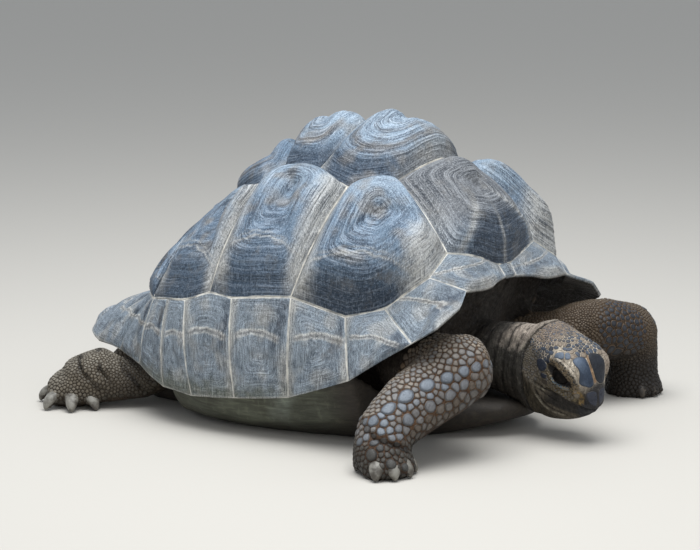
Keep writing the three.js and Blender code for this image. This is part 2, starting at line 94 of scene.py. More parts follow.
def toBody(co):  # mm forward, to the right and up
    out = np.empty_like(co)
    out[:, 0] = -(co[:, 1] - bodyShift.y) * 1000
    out[:, 1] = -(co[:, 0] - bodyShift.x) * 1000
    out[:, 2] = co[:, 2] * 1000
    return out


def bodySpot(forward, right, up):
    return Vector((bodyShift.x - right / 1000, bodyShift.y - forward / 1000, up / 1000))


# Helpers for meshes, numbers and noise.

def pick(*objs):
    bpy.ops.object.select_all(action="DESELECT")
    for obj in objs:
        obj.select_set(True)
    bpy.context.view_layer.objects.active = objs[0]


def getPoints(obj):
    co = np.empty(len(obj.data.vertices) * 3, np.float32)
    obj.data.vertices.foreach_get("co", co)
    return co.reshape(-1, 3).astype(float)


def setPoints(obj, co):
    obj.data.vertices.foreach_set("co", np.asarray(co, np.float32).ravel())
    obj.data.update()


def getNormals(obj):
    no = np.empty(len(obj.data.vertices) * 3, np.float32)
    obj.data.vertex_normals.foreach_get("vector", no)
    return no.reshape(-1, 3).astype(float)


def markPoints(obj, name, values, kind="FLOAT"):
    layer = obj.data.attributes.get(name) or obj.data.attributes.new(name, kind, "POINT")
    field = {"FLOAT": "value", "FLOAT_VECTOR": "vector", "FLOAT_COLOR": "color"}[kind]
    values = np.asarray(values, np.float32)
    if kind == "FLOAT_COLOR" and values.shape[1] == 3:
        values = np.hstack([values, np.ones((len(values), 1), np.float32)])
    layer.data.foreach_set(field, values.ravel())


def editAll(obj, *steps):  # runs mesh operators with their settings on a whole piece
    pick(obj)
    bpy.ops.object.mode_set(mode="EDIT")
    bpy.ops.mesh.select_all(action="SELECT")
    for operator, settings in steps:
        operator(**settings)
    bpy.ops.object.mode_set(mode="OBJECT")


def remesh(obj, voxel, rounds):  # one closed surface, smoothed
    modifier = obj.modifiers.new("remesh", "REMESH")
    modifier.mode = "VOXEL"
    modifier.voxel_size = voxel
    modifier = obj.modifiers.new("smooth", "SMOOTH")
    modifier.factor = 0.5
    modifier.iterations = rounds
    pick(obj)
    for modifier in list(obj.modifiers):
        bpy.ops.object.modifier_apply(modifier=modifier.name)


weldGap = 0.00002

faceOutward = (bpy.ops.mesh.normals_make_consistent, {"inside": False})


def copyNodes(names, newName):
    copies = []
    for name in names:
        copy = nodes[name].copy()
        copy.data = nodes[name].data.copy()
        for key in [k for k in copy.keys() if k.startswith("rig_")]:
            del copy[key]
        copy.parent = None
        bpy.context.scene.collection.objects.link(copy)
        copies.append(copy)
    pick(*copies)
    if len(copies) > 1:
        bpy.ops.object.join()
    obj = bpy.context.view_layer.objects.active
    obj.name = newName
    obj.data.name = newName
    obj.data.materials.clear()
    editAll(obj, (bpy.ops.mesh.remove_doubles, {"threshold": weldGap}))
    return obj


def smoothShade(obj):
    pick(obj)
    bpy.ops.object.shade_smooth()


def rgb(*colour):  # a colour as seen, as light
    return np.array([((c / 255 + 0.055) / 1.055) ** 2.4 if c > 10 else c / 255 / 12.92 for c in colour])


def ramp(values, low, high):
    t = np.clip((values - low) / (high - low), 0, 1)
    return t * t * (3 - 2 * t)


def bell(values, width):  # 1 at zero, falling to nothing on both sides
    return np.exp(-(values / width) ** 2)


def cubic(f, start, leaving, end, arriving):  # a curve between two places with given slopes
    return ((2 * f ** 3 - 3 * f ** 2 + 1) * start + (f ** 3 - 2 * f ** 2 + f) * leaving
            + (3 * f ** 2 - 2 * f ** 3) * end + (f ** 3 - f ** 2) * arriving)


def unit(rows):  # directions of length 1
    return rows / np.maximum(np.linalg.norm(rows, axis=-1, keepdims=True), 1e-12)


def pointFinder(points):
    finder = KDTree(len(points))
    for i, p in enumerate(points):
        finder.insert(Vector(p), i)
    finder.balance()
    return finder


def neighbours(points, count):  # the nearest other points of each
    finder = pointFinder(points)
    return np.array([[j for _, j, _ in finder.find_n(p, count + 1)][1:] for p in points])


def noiseAt(co, scale, seed=0.0, octaves=2):  # smooth noise from -1 to 1 at many points
    offset = Vector((seed * 3.7, seed * 1.3, -seed * 2.1))
    out = np.empty(len(co))
    for i, p in enumerate(co):
        q = Vector(p) * scale + offset
        out[i] = noise.noise(q) + (0.5 * noise.noise(q * 2.1) if octaves > 1 else 0)
    return out


# Colours and materials.

class Paint:  # a colour at every point, laid on in layers
    def __init__(self, tones, first, count):
        self.tones = tones
        self.colour = np.repeat(tones[first][None], count, 0)

    def lay(self, tone, share):
        share = np.clip(share * np.ones(len(self.colour)), 0, 1)[:, None]
        self.colour = self.colour * (1 - share) + self.tones[tone][None] * share


class Nodes:
    def __init__(self, name):
        self.material = bpy.data.materials.new(name)
        self.material.use_nodes = True
        self.tree = self.material.node_tree
        self.shader = self.tree.nodes["Principled BSDF"]

    def feed(self, socket, value):
        if isinstance(value, bpy.types.NodeSocket):
            self.tree.links.new(value, socket)
        else:
            socket.default_value = value

    def add(self, kind, inputs, **settings):
        node = self.tree.nodes.new(kind)
        for key, value in settings.items():
            setattr(node, key, value)
        for key, value in inputs.items():
            self.feed(node.inputs[key], value)
        return node

    def math(self, operation, a, b=0.0, c=0.0):
        return self.add("ShaderNodeMath", {0: a, 1: b, 2: c}, operation=operation).outputs[0]

    def attribute(self, name, output="Fac"):
        return self.add("ShaderNodeAttribute", {}, attribute_name=name).outputs[output]

    def place(self, stretch=(1, 1, 1)):  # object coordinates
        here = self.add("ShaderNodeTexCoord", {}).outputs["Object"]
        return self.add("ShaderNodeMapping", {"Vector": here, "Scale": stretch}).outputs[0]

    def noise(self, vector, scale, detail=3.0, roughness=0.55):
        inputs = {"Vector": vector, "Scale": scale, "Detail": detail, "Roughness": roughness}
        return self.add("ShaderNodeTexNoise", inputs).outputs["Fac"]

    def noiseAlong(self, way, vector, scale, detail=2.0, roughness=0.5):  # it changes along a value too
        inputs = {"W": way, "Vector": vector, "Scale": scale, "Detail": detail, "Roughness": roughness}
        return self.add("ShaderNodeTexNoise", inputs, noise_dimensions="4D").outputs["Fac"]

    def cells(self, vector, scale):  # distance to the borders of small cells
        inputs = {"Vector": vector, "Scale": scale}
        return self.add("ShaderNodeTexVoronoi", inputs, feature="DISTANCE_TO_EDGE").outputs["Distance"]

    def range(self, value, low, high, toLow=0.0, toHigh=1.0):
        inputs = {"Value": value, "From Min": low, "From Max": high, "To Min": toLow, "To Max": toHigh}
        return self.add("ShaderNodeMapRange", inputs, interpolation_type="SMOOTHSTEP").outputs[0]

    def mix(self, factor, a, b, blend="MIX"):
        a, b = (value if isinstance(value, bpy.types.NodeSocket) else (*value, 1.0) for value in (a, b))
        return self.add("ShaderNodeMix", {0: factor, 6: a, 7: b}, data_type="RGBA", blend_type=blend).outputs[2]

    def shade(self, tint, by):  # a tint made darker or paler
        return self.mix(1.0, tint, by, "MULTIPLY")

    def layers(self, colour, *rows):  # tones laid where a value goes from low to high
        for value, low, high, most, tone, *weights in rows:
            share = self.range(value, low, high, 0.0, most)
            for weight in weights:
                share = self.math("MULTIPLY", share, weight)
            colour = self.mix(share, colour, tone)
        return colour

    def bumps(self, *rows):  # height, distance in metres and strength of each
        normal = {}
        for height, distance, strength in rows:
            inputs = {"Height": height, "Distance": distance, "Strength": strength, **normal}
            normal = {"Normal": self.add("ShaderNodeBump", inputs).outputs[0]}
        return normal["Normal"]

    def connect(self, **links):
        for key, value in links.items():
            self.feed(self.shader.inputs[key.replace("_", " ")], value)


# Camera, floor and light.

studio = {
    "cameraAt": (-4.062, -2.437, 1.139),  # from the body's own middle
    "cameraTo": (0.0226, -0.0384, 0.25),
    "lens": 130.5,
    "floorTone": (0.50, 0.475, 0.43),
    "skyLight": 0.62,
    "skyTone": (0.86, 0.92, 1.0, 1),
    "lightsTo": (0, -0.1, 0.2),
    # Place, size in metres, power and tone of each.
    "lights": {
        "top light": ((-0.5, -0.3, 3.2), 2.6, 150, (0.96, 0.98, 1.0)),
        "side light": ((-2.6, -2.4, 1.8), 2.0, 16, (1.0, 0.97, 0.92)),
    },
}


def aim(obj, at, to):
    obj.location = at
    obj.rotation_euler = (Vector(to) - Vector(at)).to_track_quat("-Z", "Y").to_euler()
    bpy.context.scene.collection.objects.link(obj)


def buildStudio():
    scene = bpy.context.scene
    camera = bpy.data.objects.new("camera", bpy.data.cameras.new("camera"))
    middleAt = Vector((bodyShift.x, bodyShift.y, 0))
    aim(camera, Vector(studio["cameraAt"]) + middleAt, Vector(studio["cameraTo"]) + middleAt)
    camera.data.lens = studio["lens"]
    camera.data.clip_end = 50
    scene.camera = camera
    scene.view_settings.view_transform = "Standard"

    bpy.ops.mesh.primitive_plane_add(size=60)
    floor = bpy.context.object
    floor.name = "studio_floor"
    floorLook = Nodes("studio floor")
    floorLook.connect(Base_Color=(*studio["floorTone"], 1), Roughness=0.9)
    floor.data.materials.append(floorLook.material)

    scene.world = bpy.data.worlds.new("soft sky")
    scene.world.use_nodes = True
    sky = scene.world.node_tree.nodes["Background"]
    sky.inputs[0].default_value = studio["skyTone"]
    sky.inputs[1].default_value = studio["skyLight"]

    for name, (at, size, power, tone) in studio["lights"].items():
        lamp = bpy.data.objects.new(name, bpy.data.lights.new(name, "AREA"))
        lamp.data.size = size
        lamp.data.energy = power
        lamp.data.color = tone
        aim(lamp, at, studio["lightsTo"])


buildStudio()
report("studio")


# Horn plates of the shell.

plateShape = {
    "bigAround": 168, "bigRows": 92,  # points round a plate and rows to its centre
    "smallAround": 112, "smallRows": 42,
    "rowCrowding": 1.08,  # above 1 the rows stand closer at the seam
    "cornerTurn": 26,  # degrees, above which an outline corner stays sharp
    "cornerKept": (1, 0.85, 0.25, 0.0),  # how sharp the corners still are at each level
    "rounding": {2: 0.35, 3: 0.8},  # how much the inner levels are rounded off
    "softSeam": 0.85,  # how far the step up from a seam is eased
    "flatTip": 0.85,  # how level the growth centre is
    "ringGap": 6.2,  # mm between the coarse growth rings
    "ringDepth": 0.55, "ringDepthVary": (0.55, 1.35),
    "ringGapVary": (0.6, 1.4),
    "ringSway": (0.02, 0.012),  # slow and quick, as shares of the way to the centre
    "ringWidth": (0.9, 1.5),
    "ringsFrom": 0.035, "ringsTo": 0.86,
    "terraceStep": 1.7, "terraceVary": (0.4, 1.0),
    "smallTerrace": 0.45,  # a terrace of a rim plate against one of a big plate
    "fullness": 5.5,  # mm the flank of a plate swells
    "seamReach": 0.006,  # metres within which two outlines share a seam
    "seamBlur": 3,
}
plateLevels = np.array([0.0, 0.06, 0.34, 0.68, 1.0])
plateWall = (0.0, 0.6, 1.0)  # rows of the inner face, from its middle

wallDepth = 30.0  # mm from the seam that the inner face counts as

shellHeart = Vector((bodyShift.x, bodyShift.y, 0.1))


def evened(ring):  # a ring about its middle, at one size
    ring = ring - ring.mean(0)
    return ring / math.sqrt((ring ** 2).sum() / len(ring))


def plateRings(node):  # the node's own loft, from the growth centre to the inner face
    bm = bmesh.new()
    bm.from_mesh(nodes[node].data)
    bmesh.ops.remove_doubles(bm, verts=bm.verts, dist=1e-5)
    count = (len(bm.verts) - 2) // 5
    found = []
    for start in bm.verts:
        if len(start.link_edges) != count:
            continue
        level, rings, front = {start: 0}, [], [start]
        while front:
            rings.append(front)
            beyond = []
            for vert in front:
                for edge in vert.link_edges:
                    other = edge.other_vert(vert)
                    if other not in level:
                        level[other] = level[vert] + 1
                        beyond.append(other)
            front = beyond
        if [len(r) for r in rings] == [1] + [count] * 5 + [1]:
            found.append(((start.co - shellHeart).length, rings, level))
    rings, level = max(found, key=lambda f: f[0])[1:]
    ordered = []
    for depth in range(1, 6):
        walk, before = [rings[depth][0]], None
        while len(walk) < count:
            here = walk[-1]
            beside = [e.other_vert(here) for e in here.link_edges if level[e.other_vert(here)] == depth]
            ahead = [v for v in beside if v is not before and v not in walk[:1]] or beside
            before = here
            walk.append(ahead[0])
        ordered.append(np.array([v.co for v in walk], float))
    tip, innerTip = np.array(rings[0][0].co, float), np.array(rings[6][0].co, float)
    bm.free()
    ordered = ordered[::-1]  # inner ring, outline, then the rings up to the centre
    for i in range(1, 5):  # each starts beside the start of the one before
        base = evened(ordered[i - 1])
        turns = [(flip, shift) for flip in (1, -1) for shift in range(count)]
        flip, shift = min(turns, key=lambda t: ((evened(np.roll(ordered[i][::t[0]], t[1], 0)) - base) ** 2).sum())
        ordered[i] = np.roll(ordered[i][::flip], shift, 0)
    return ordered[0], ordered[1:], tip, innerTip


def around(points, sharp, picks, parts):  # a closed curve through points, with sharp corners kept
    ahead = np.roll(points, -1, 0) - points
    back = points - np.roll(points, 1, 0)
    lengthAhead = np.linalg.norm(ahead, axis=1, keepdims=True)
    lengthBack = np.linalg.norm(back, axis=1, keepdims=True)
    way = unit(ahead / lengthAhead + back / lengthBack)
    leaving = way * lengthAhead * (1 - sharp) + ahead * sharp
    arriving = way * lengthBack * (1 - sharp) + back * sharp
    following = (picks + 1) % len(points)
    return cubic(parts[:, None], points[picks], leaving[picks], points[following], arriving[following])


def roundLoop(loop, share):
    width = max(3, int(len(loop) * 0.11))
    kernel = np.hanning(2 * width + 1)
    padded = np.concatenate([loop[-width:], loop, loop[:width]])
    soft = np.stack([np.convolve(padded[:, i], kernel / kernel.sum(), "valid") for i in range(3)], 1)
    return loop + (soft - loop) * share


def plateGrid(node, countAround, rows):
    inner, rings, tip, innerTip = plateRings(node)
    outline = rings[0]
    side = np.roll(outline, -1, 0) - outline
    turn = np.array([math.degrees(Vector(side[i - 1]).angle(Vector(side[i]))) for i in range(len(outline))])
    corner = ramp(turn, plateShape["cornerTurn"] - 8, plateShape["cornerTurn"] + 8)[:, None]
    lengths = np.linalg.norm(side, axis=1)
    shares = np.maximum(2, np.round(lengths / lengths.sum() * countAround)).astype(int)
    shares[np.argmax(shares)] += countAround - shares.sum()
    picks = np.concatenate([np.full(s, i) for i, s in enumerate(shares)])
    parts = np.concatenate([np.arange(s) / s for s in shares])
    columns = [around(ring, corner * keep, picks, parts) for ring, keep in zip(rings, plateShape["cornerKept"])]
    gentle = columns[0] + (columns[2] - columns[0]) * plateLevels[1] / plateLevels[2]
    columns[1] = columns[1] + (gentle - columns[1]) * plateShape["softSeam"]
    for k, share in plateShape["rounding"].items():
        columns[k] = roundLoop(columns[k], share)
    columns.append(np.repeat(tip[None], len(picks), 0))
    innerLine = around(inner, corner, picks, parts)

    normal = np.cross(columns[1][::7] - tip, np.roll(columns[1][::7], -1, 0) - tip).sum(0)
    normal /= np.linalg.norm(normal)
    if normal @ (tip - innerTip) < 0:
        normal = -normal
    gaps = np.diff(plateLevels)
    slopes = [(columns[k + 1] - columns[k]) / gaps[k] for k in range(4)]
    tangents = [slopes[0], slopes[1] * 1.1, (slopes[1] + slopes[2]) / 2, (slopes[2] + slopes[3]) / 2]
    tangents.append(slopes[3] - (slopes[3] @ normal)[:, None] * normal * plateShape["flatTip"])

    levels = (np.arange(rows) / (rows - 1)) ** plateShape["rowCrowding"]
    surface = np.empty((rows, len(picks), 3))
    for r, t in enumerate(levels):
        k = min(int(np.searchsorted(plateLevels, t, "right")) - 1, 3)
        f = (t - plateLevels[k]) / gaps[k]
        surface[r] = cubic(f, columns[k], tangents[k] * gaps[k], columns[k + 1], tangents[k + 1] * gaps[k])
    return surface, levels, innerLine, innerTip, normal


def growthRings(surface, levels, normal, seed, big):
    rows, count = surface.shape[:2]
    chance = random.Random(seed)
    spokes = np.linalg.norm(surface - surface[0][None], axis=2) * 1000  # mm from the seam
    reach = max(spokes[-1].mean(), 20)
    turns = np.linspace(0, 2 * math.pi, count, endpoint=False)

    def swing(size, place):  # slow noise once round the plate
        return np.array([noise.noise(Vector((size * math.cos(a), size * math.sin(a), place))) for a in turns])

    slow, quick = plateShape["ringSway"]
    wander = swing(2.2, seed * 1.7)
    height = np.zeros((rows, count))
    t, ring = plateShape["ringsFrom"], 0
    while t < plateShape["ringsTo"]:
        line = t + (wander * slow + swing(3, seed * 5.1 + ring * 0.6) * quick) * (0.4 + t)
        depth = plateShape["ringDepth"] * chance.uniform(*plateShape["ringDepthVary"])
        width = chance.uniform(*plateShape["ringWidth"]) / reach
        gap = levels[:, None] - line[None, :]
        height -= depth * bell(gap, width)
        if ring % 3 == chance.randrange(3):
            lift = plateShape["terraceStep"] * chance.uniform(*plateShape["terraceVary"])
            lift *= 1.0 if big else plateShape["smallTerrace"]
            height += lift * (ramp(gap, -width, width * 2.2) - np.clip(levels[:, None], 0, 1))
        t += plateShape["ringGap"] / reach * chance.uniform(*plateShape["ringGapVary"]) * (0.75 + 0.7 * t)
        ring += 1
    height *= ramp(levels, 0.0, 0.03)[:, None] * (1 - ramp(levels, plateShape["ringsTo"], 0.97)[:, None])
    if big:
        height += plateShape["fullness"] * (4 * levels * (1 - levels))[:, None]
    along = np.roll(surface, -1, 1) - np.roll(surface, 1, 1)
    face = unit(np.cross(along, np.gradient(surface, axis=0)))
    face *= np.sign((face @ normal).sum())
    face[-1] = normal
    return surface + face * height[:, :, None] / 1000, spokes


def findSeams(grids):  # 1 where an outline point lies beside another plate
    owners = [node for node, grid in grids.items() for p in grid[0][0]]
    finder = pointFinder(np.concatenate([grid[0][0] for grid in grids.values()]))
    width = plateShape["seamBlur"]
    kernel = np.ones(2 * width + 1) / (2 * width + 1)
    seams = {}
    for node, grid in grids.items():
        beside = [finder.find_range(Vector(p), plateShape["seamReach"]) for p in grid[0][0]]
        met = np.array([any(owners[i] != node for _, i, _ in found) for found in beside], float)
        seams[node] = np.convolve(np.concatenate([met[-width:], met, met[:width]]), kernel, "valid")
    return seams


def buildPlate(node, grid, seam, look, seed):
    big = node.startswith(("vertebral", "costal"))
    surface, levels, innerLine, innerTip, normal = grid
    count = surface.shape[1]
    surface, spokes = growthRings(surface, levels, normal, seed, big)
    wall = [innerTip + (innerLine - innerTip) * f for f in plateWall] + [(innerLine + surface[0]) / 2]
    rows = np.concatenate([np.array(wall), surface])
    total = len(rows)
    bpy.ops.mesh.primitive_grid_add(x_subdivisions=count, y_subdivisions=total - 1, size=1)
    obj = bpy.context.object
    obj.name = node + "_horn"
    obj.data.name = obj.name
    closed = np.concatenate([rows, rows[:, :1]], axis=1).reshape(-1, 3)
    setPoints(obj, closed)
    level = np.repeat(np.concatenate([np.full(4, -0.02), levels]), count + 1)
    edge = np.concatenate([np.full((3, count), wallDepth), np.zeros((1, count)), spokes])
    edge = np.concatenate([edge, edge[:, :1]], axis=1).ravel()
    turn = np.tile(np.append(np.arange(count), 0) / count * 2 * math.pi, total)
    tint, hatch = plateTint(node, toBody(closed), level, edge)
    markPoints(obj, "level", level)
    markPoints(obj, "edge", edge)
    markPoints(obj, "growth", level * float(spokes[-1].mean()))
    markPoints(obj, "seam", np.tile(np.append(seam, seam[0]), total))
    markPoints(obj, "relief", np.full(len(closed), 1.0 if big else 0.85))
    spin = np.stack([np.cos(turn), np.sin(turn), np.full(len(closed), seed * 0.37)], 1)
    markPoints(obj, "turn", spin, "FLOAT_VECTOR")
    markPoints(obj, "tint", tint, "FLOAT_COLOR")
    markPoints(obj, "hatch", hatch)
    obj.data.uv_layers[0].name = "OFBake"
    editAll(obj, (bpy.ops.mesh.remove_doubles, {"threshold": 0.0000005}), faceOutward)
    bpy.ops.object.shade_smooth()
    obj.data.materials.append(look)
    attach(obj, "root")
    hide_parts(node)


hornTones = {
    # skyLitCrest is a painted sky reflection for the tops of the plates.
    "skyLitCrest": rgb(154, 171, 185), "slate": rgb(91, 111, 130), "deep": rgb(27, 43, 60), "earth": rgb(116, 109, 100),
    "flank": rgb(164, 162, 156), "rim": rgb(126, 135, 142), "seam": rgb(226, 222, 212), "lowGreen": rgb(82, 84, 66),
    "underShade": rgb(50, 43, 36), "brownBand": rgb(74, 66, 58),
}


def plateTint(node, body, level, edge):
    forward, right, up = body.T
    chance = random.Random(node)
    mid = (body.max(0) + body.min(0)) / 2
    half = (body.max(0) - body.min(0)) / 2
    fore, high = (forward - mid[0]) / half[0], (up - mid[2]) / half[2]
    mottle = noiseAt(body, 0.022, chance.uniform(0, 9), 2)
    paint = Paint(hornTones, "slate", len(body))
    paint.colour *= chance.uniform(0.9, 1.1)
    lay = paint.lay
    ragged = noiseAt(body, 0.05, chance.uniform(0, 9), 2)
    hatch = np.zeros(len(body))  # where fine lines run down instead of round
    if node == "vertebral_1":
        across = np.abs(right - mid[1])
        wide = 18 + 125 * ramp(-high, -0.8, 0.75)  # the dark wedge below the knob
        lay("earth", 0.6 * ramp(high, -0.4, 0.3))
        hatch = (1 - ramp(across / wide + 0.15 * ragged, 0.75, 1.05)) * ramp(-high + 0.15 * ragged, -0.4, 0.15)
        lay("deep", 0.92 * hatch)
        lay("flank", 0.65 * bell(across - wide - 6, 11) * ramp(-high, -0.6, -0.1))
        lay("flank", 0.5 * bell(across, 5) * ramp(-high, -0.5, 0.2))
        lay("flank", 0.4 * ramp(across, 115, 160))
    elif node.startswith("vertebral"):
        # Painted sky reflection: the highest part of the plate paler and bluer.
        lay("skyLitCrest", 0.7 * ramp(up + 10 * ragged, 485, 560))
        low = ramp(-high, -0.95, -0.5)
        band = bell(level - 0.42 + 0.03 * ragged, 0.05) + 0.7 * bell(level - 0.66 + 0.02 * ragged, 0.03)
        # The thin dark lines just below the bands are painted shadow under the growth steps.
        line = bell(level - 0.365 + 0.03 * ragged, 0.013) + bell(level - 0.63 + 0.02 * ragged, 0.009)
        lay("brownBand", 0.75 * band * low)
        lay("deep", 0.8 * line * low)
        hatch = ramp(-level - 0.05 * ragged, -0.36, -0.22)
        lay("deep", 0.8 * hatch * ramp(-high, -0.55, 0.0))
        lay("earth", 0.45 * ramp(mottle, 0.1, 0.6))
        lay("flank", 0.5 * ramp(np.abs(fore), 0.66, 0.95))
    elif node.startswith("costal"):
        # Painted sky reflection: the upper part of the plate paler and bluer.
        lay("skyLitCrest", 0.5 * ramp(high, 0.35, 0.95))
        lay("earth", 0.6 * ramp(mottle, 0.0, 0.5) * ramp(level, 0.30, 0.5))
        shelf = -high - 0.35 * fore ** 2
        hatch = ramp(shelf + 0.06 * ragged, 0.0, 0.22)
        darkest = 0.93 if node.endswith("1") else 0.78
        lay("deep", darkest * hatch * (0.75 + 0.25 * ramp(-high, 0.3, 0.6)))
        shelf = shelf + 0.04 * ragged
        lay("flank", 0.75 * bell(shelf, 0.02) + 0.45 * bell(shelf + 0.07, 0.015))
        lay("deep", 0.7 * bell(shelf - 0.045, 0.014))
        lay("flank", 0.85 * ramp(np.abs(fore) + 0.06 * ragged, 0.5, 0.85) * (1 - 0.8 * ramp(-high, 0.45, 0.9)))
    else:
        fine = noiseAt(body, 0.07, chance.uniform(0, 9), 2)
        lay("rim", 0.8)
        lay("flank", 0.5 * ramp(mottle, 0.0, 0.5))
        if node.startswith("marginal"):
            hatch[:] = 0.78
            tilt = fore - 0.25 * high + 0.25 * fine
            lay("deep", 0.8 * bell(tilt - 0.55, 0.2) * ramp(high, -0.3, 0.25) * ramp(edge, 3, 9))
            lay("flank", 0.8 * ramp(np.abs(fore), 0.62, 0.9) * (1 - ramp(fore, 0.3, 0.6) * ramp(high, -0.2, 0.3)))
            shelf = high - 0.30 - 0.06 * np.cos(fore * 3) + 0.03 * fine
            inside = 1 - ramp(np.abs(fore), 0.6, 0.8)
            lay("seam", 0.65 * inside * bell(shelf, 0.022))
            lay("seam", 0.45 * inside * bell(shelf + 0.09, 0.02))
            lay("earth", 0.6 * inside * bell(shelf + 0.045, 0.035))
            lay("deep", 0.35 * ramp(-shelf, 0.1, 0.5) * ramp(fine, -0.1, 0.4))
        # Greener and darker towards the bottom of the rim plates.
        lay("lowGreen", 0.75 * ramp(-up + 12 * fine, -120, -72))
        lay("flank", 0.5 * ramp(-edge, -5, -1) * ramp(-high, 0.6, 0.9))
    # Painted shade on the inner faces of the plate.
    lay("underShade", (level < 0) & (edge > 1))
    return paint.colour, hatch


# Noise along the growth rings: its scale, how far the rings wander in mm, a seed and its detail.
hornRings = {"broad": (0.075, 14.0, 3.0, 1.0), "coarse": (0.24, 9.0, 0.0, 2.0), "fine": (0.48, 6.0, 7.0, 2.0)}


def hornLook():
    look = Nodes("weathered shell horn")
    level, edge, growth, relief, hatch = map(look.attribute, ("level", "edge", "growth", "relief", "hatch"))
    turn, tint, here = look.attribute("turn", "Vector"), look.attribute("tint", "Color"), look.place()

    def rings(scale, wander, seed, detail):  # lines that follow the plate's outline
        swing = look.noiseAlong(look.math("MULTIPLY_ADD", growth, 0.03, seed), turn, 2.2)
        mm = look.math("ADD", growth, look.math("MULTIPLY", swing, wander))
        return look.noiseAlong(look.math("MULTIPLY", mm, scale), turn, 0.9, detail, 0.65)

    broad, coarse, fine = (rings(*hornRings[name]) for name in ("broad", "coarse", "fine"))
    spokes = look.noiseAlong(look.math("MULTIPLY", level, 2.6), turn, 26.0, 4.0, 0.68)
    cloud = look.noise(here, 22.0, 4, 0.6)
    patch = look.math("MULTIPLY", look.range(look.noise(here, 14.0, 3, 0.6), 0.32, 0.62, 0.25, 1.0), relief)
    speck = look.noise(here, 420.0, 2, 0.6)
    weave = look.noise(here, 900.0, 2, 0.5)
    scratch = look.noise(look.place((1.0, 1.0, 0.10)), 430.0, 3, 0.7)
    nick = look.noise(look.place((0.16, 1.0, 1.0)), 400.0, 2, 0.65)
    calm = look.math("SUBTRACT", 1.0, look.math("MULTIPLY", hatch, 0.7))
    down = look.math("ADD", look.math("MULTIPLY", hatch, 0.6), 0.45)

    dark = look.shade(tint, (0.10, 0.13, 0.18))
    paleShare = look.math("MULTIPLY_ADD", hatch, -0.13, 0.30)
    pale = look.mix(paleShare, look.shade(tint, (1.7, 1.7, 1.7)), (0.70, 0.73, 0.77))
    colour = look.layers(
        tint,
        (broad, 0.47, 0.62, 0.6, dark, patch, calm), (broad, 0.42, 0.30, 0.4, pale, patch, calm),
        (coarse, 0.47, 0.39, 0.8, dark, patch, calm), (coarse, 0.56, 0.64, 0.5, pale, patch, calm),
        (fine, 0.47, 0.40, 0.7, dark, patch, calm), (fine, 0.54, 0.61, 0.6, pale, patch, calm),
        (spokes, 0.53, 0.66, 0.75, pale, down), (spokes, 0.47, 0.36, 0.7, dark, down),
        (fine, 0.55, 0.63, 0.45, pale, hatch),
        (scratch, 0.55, 0.66, 0.65, pale), (scratch, 0.45, 0.36, 0.65, dark),
        (nick, 0.58, 0.68, 0.4, pale), (weave, 0.52, 0.70, 0.25, pale),
        (speck, 0.46, 0.3, 0.5, dark), (cloud, 0.5, 0.7, 0.25, (0.22, 0.20, 0.17)))
    seamNoise = look.math("MULTIPLY", look.noise(here, 60.0, 3), 4.0)
    seamNoise = look.math("ADD", seamNoise, look.range(relief, 0.86, 1.0, 0.2, 1.1))
    seam = look.range(look.math("SUBTRACT", edge, seamNoise), -1.6, 0.5, 0.85, 0.0)
    seam = look.math("MULTIPLY", seam, look.range(look.noise(here, 40.0, 3), 0.36, 0.58, 0.4, 1.0))
    colour = look.mix(look.math("MULTIPLY", seam, look.attribute("seam")), colour, tuple(hornTones["seam"]))
    look.connect(Base_Color=colour, Roughness=look.range(cloud, 0.3, 0.7, 0.5, 0.72), Specular_IOR_Level=0.32)
    ridges = look.math("MULTIPLY", look.math("ADD", coarse, look.math("MULTIPLY", fine, 0.8)), patch)
    look.connect(Normal=look.bumps((ridges, 0.0030, 0.9), (spokes, 0.0014, 0.7), (speck, 0.0005, 0.6)))
    return look.material


plateNodes = sorted(n for n in nodes if n.startswith(("vertebral", "costal", "marginal", "nuchal", "supracaudal")))
horn = hornLook()
plateGrids = {}
for node in plateNodes:
    size = "big" if node.startswith(("vertebral", "costal")) else "small"
    plateGrids[node] = plateGrid(node, plateShape[size + "Around"], plateShape[size + "Rows"])
plateSeams = findSeams(plateGrids)
for seed, node in enumerate(plateNodes, 3):
    buildPlate(node, plateGrids[node], plateSeams[node], horn, seed)
report("plates")


# One skin for the trunk, neck, head, tail and legs.

legNodes = [f"{leg}_{side}_{part}" for leg in ("foreleg", "hindleg") for side in ("right", "left")
            for part in ("upper", "lower")]
fleshNodes = ["trunk", "neck", "head", "lower_jaw", "tail"] + legNodes
# Where the parts of the body begin, in mm from its middle.
legAhead, legAside = 285, 112
headAside, headHalf = 12, 110
skinShape = {
    "voxel": 0.0075, "smoothing": 7,
    "hiddenShare": 0.22,  # of the faces kept where the shell hides the skin
    "wrinkle": 1.1, "headWrinkle": 0.35,
    "eyeClose": 30,  # mm from an eye with the finest faces
    "lowest": 0.0002,
}


def selectPoints(obj, chosen):
    obj.data.vertices.foreach_set("select", chosen)
    edges = np.empty(len(obj.data.edges) * 2, np.int32)
    obj.data.edges.foreach_get("vertices", edges)
    obj.data.edges.foreach_set("select", chosen[edges.reshape(-1, 2)].all(1))
    loops = np.empty(len(obj.data.loops), np.int32)
    obj.data.loops.foreach_get("vertex_index", loops)
    starts = np.empty(len(obj.data.polygons), np.int32)
    obj.data.polygons.foreach_get("loop_start", starts)
    obj.data.polygons.foreach_set("select", np.logical_and.reduceat(chosen[loops], starts))


def editSelected(obj, chosen, operator, **settings):
    pick(obj)
    bpy.ops.object.mode_set(mode="EDIT")
    bpy.ops.mesh.select_mode(type="VERT")
    bpy.ops.mesh.select_all(action="DESELECT")
    bpy.ops.object.mode_set(mode="OBJECT")
    selectPoints(obj, chosen)
    bpy.ops.object.mode_set(mode="EDIT")
    operator(**settings)
    bpy.ops.object.mode_set(mode="OBJECT")


def oneSide(head):  # both sides of the head laid on the right one
    side = head.copy()
    side[:, 1] = np.abs(side[:, 1])
    return side


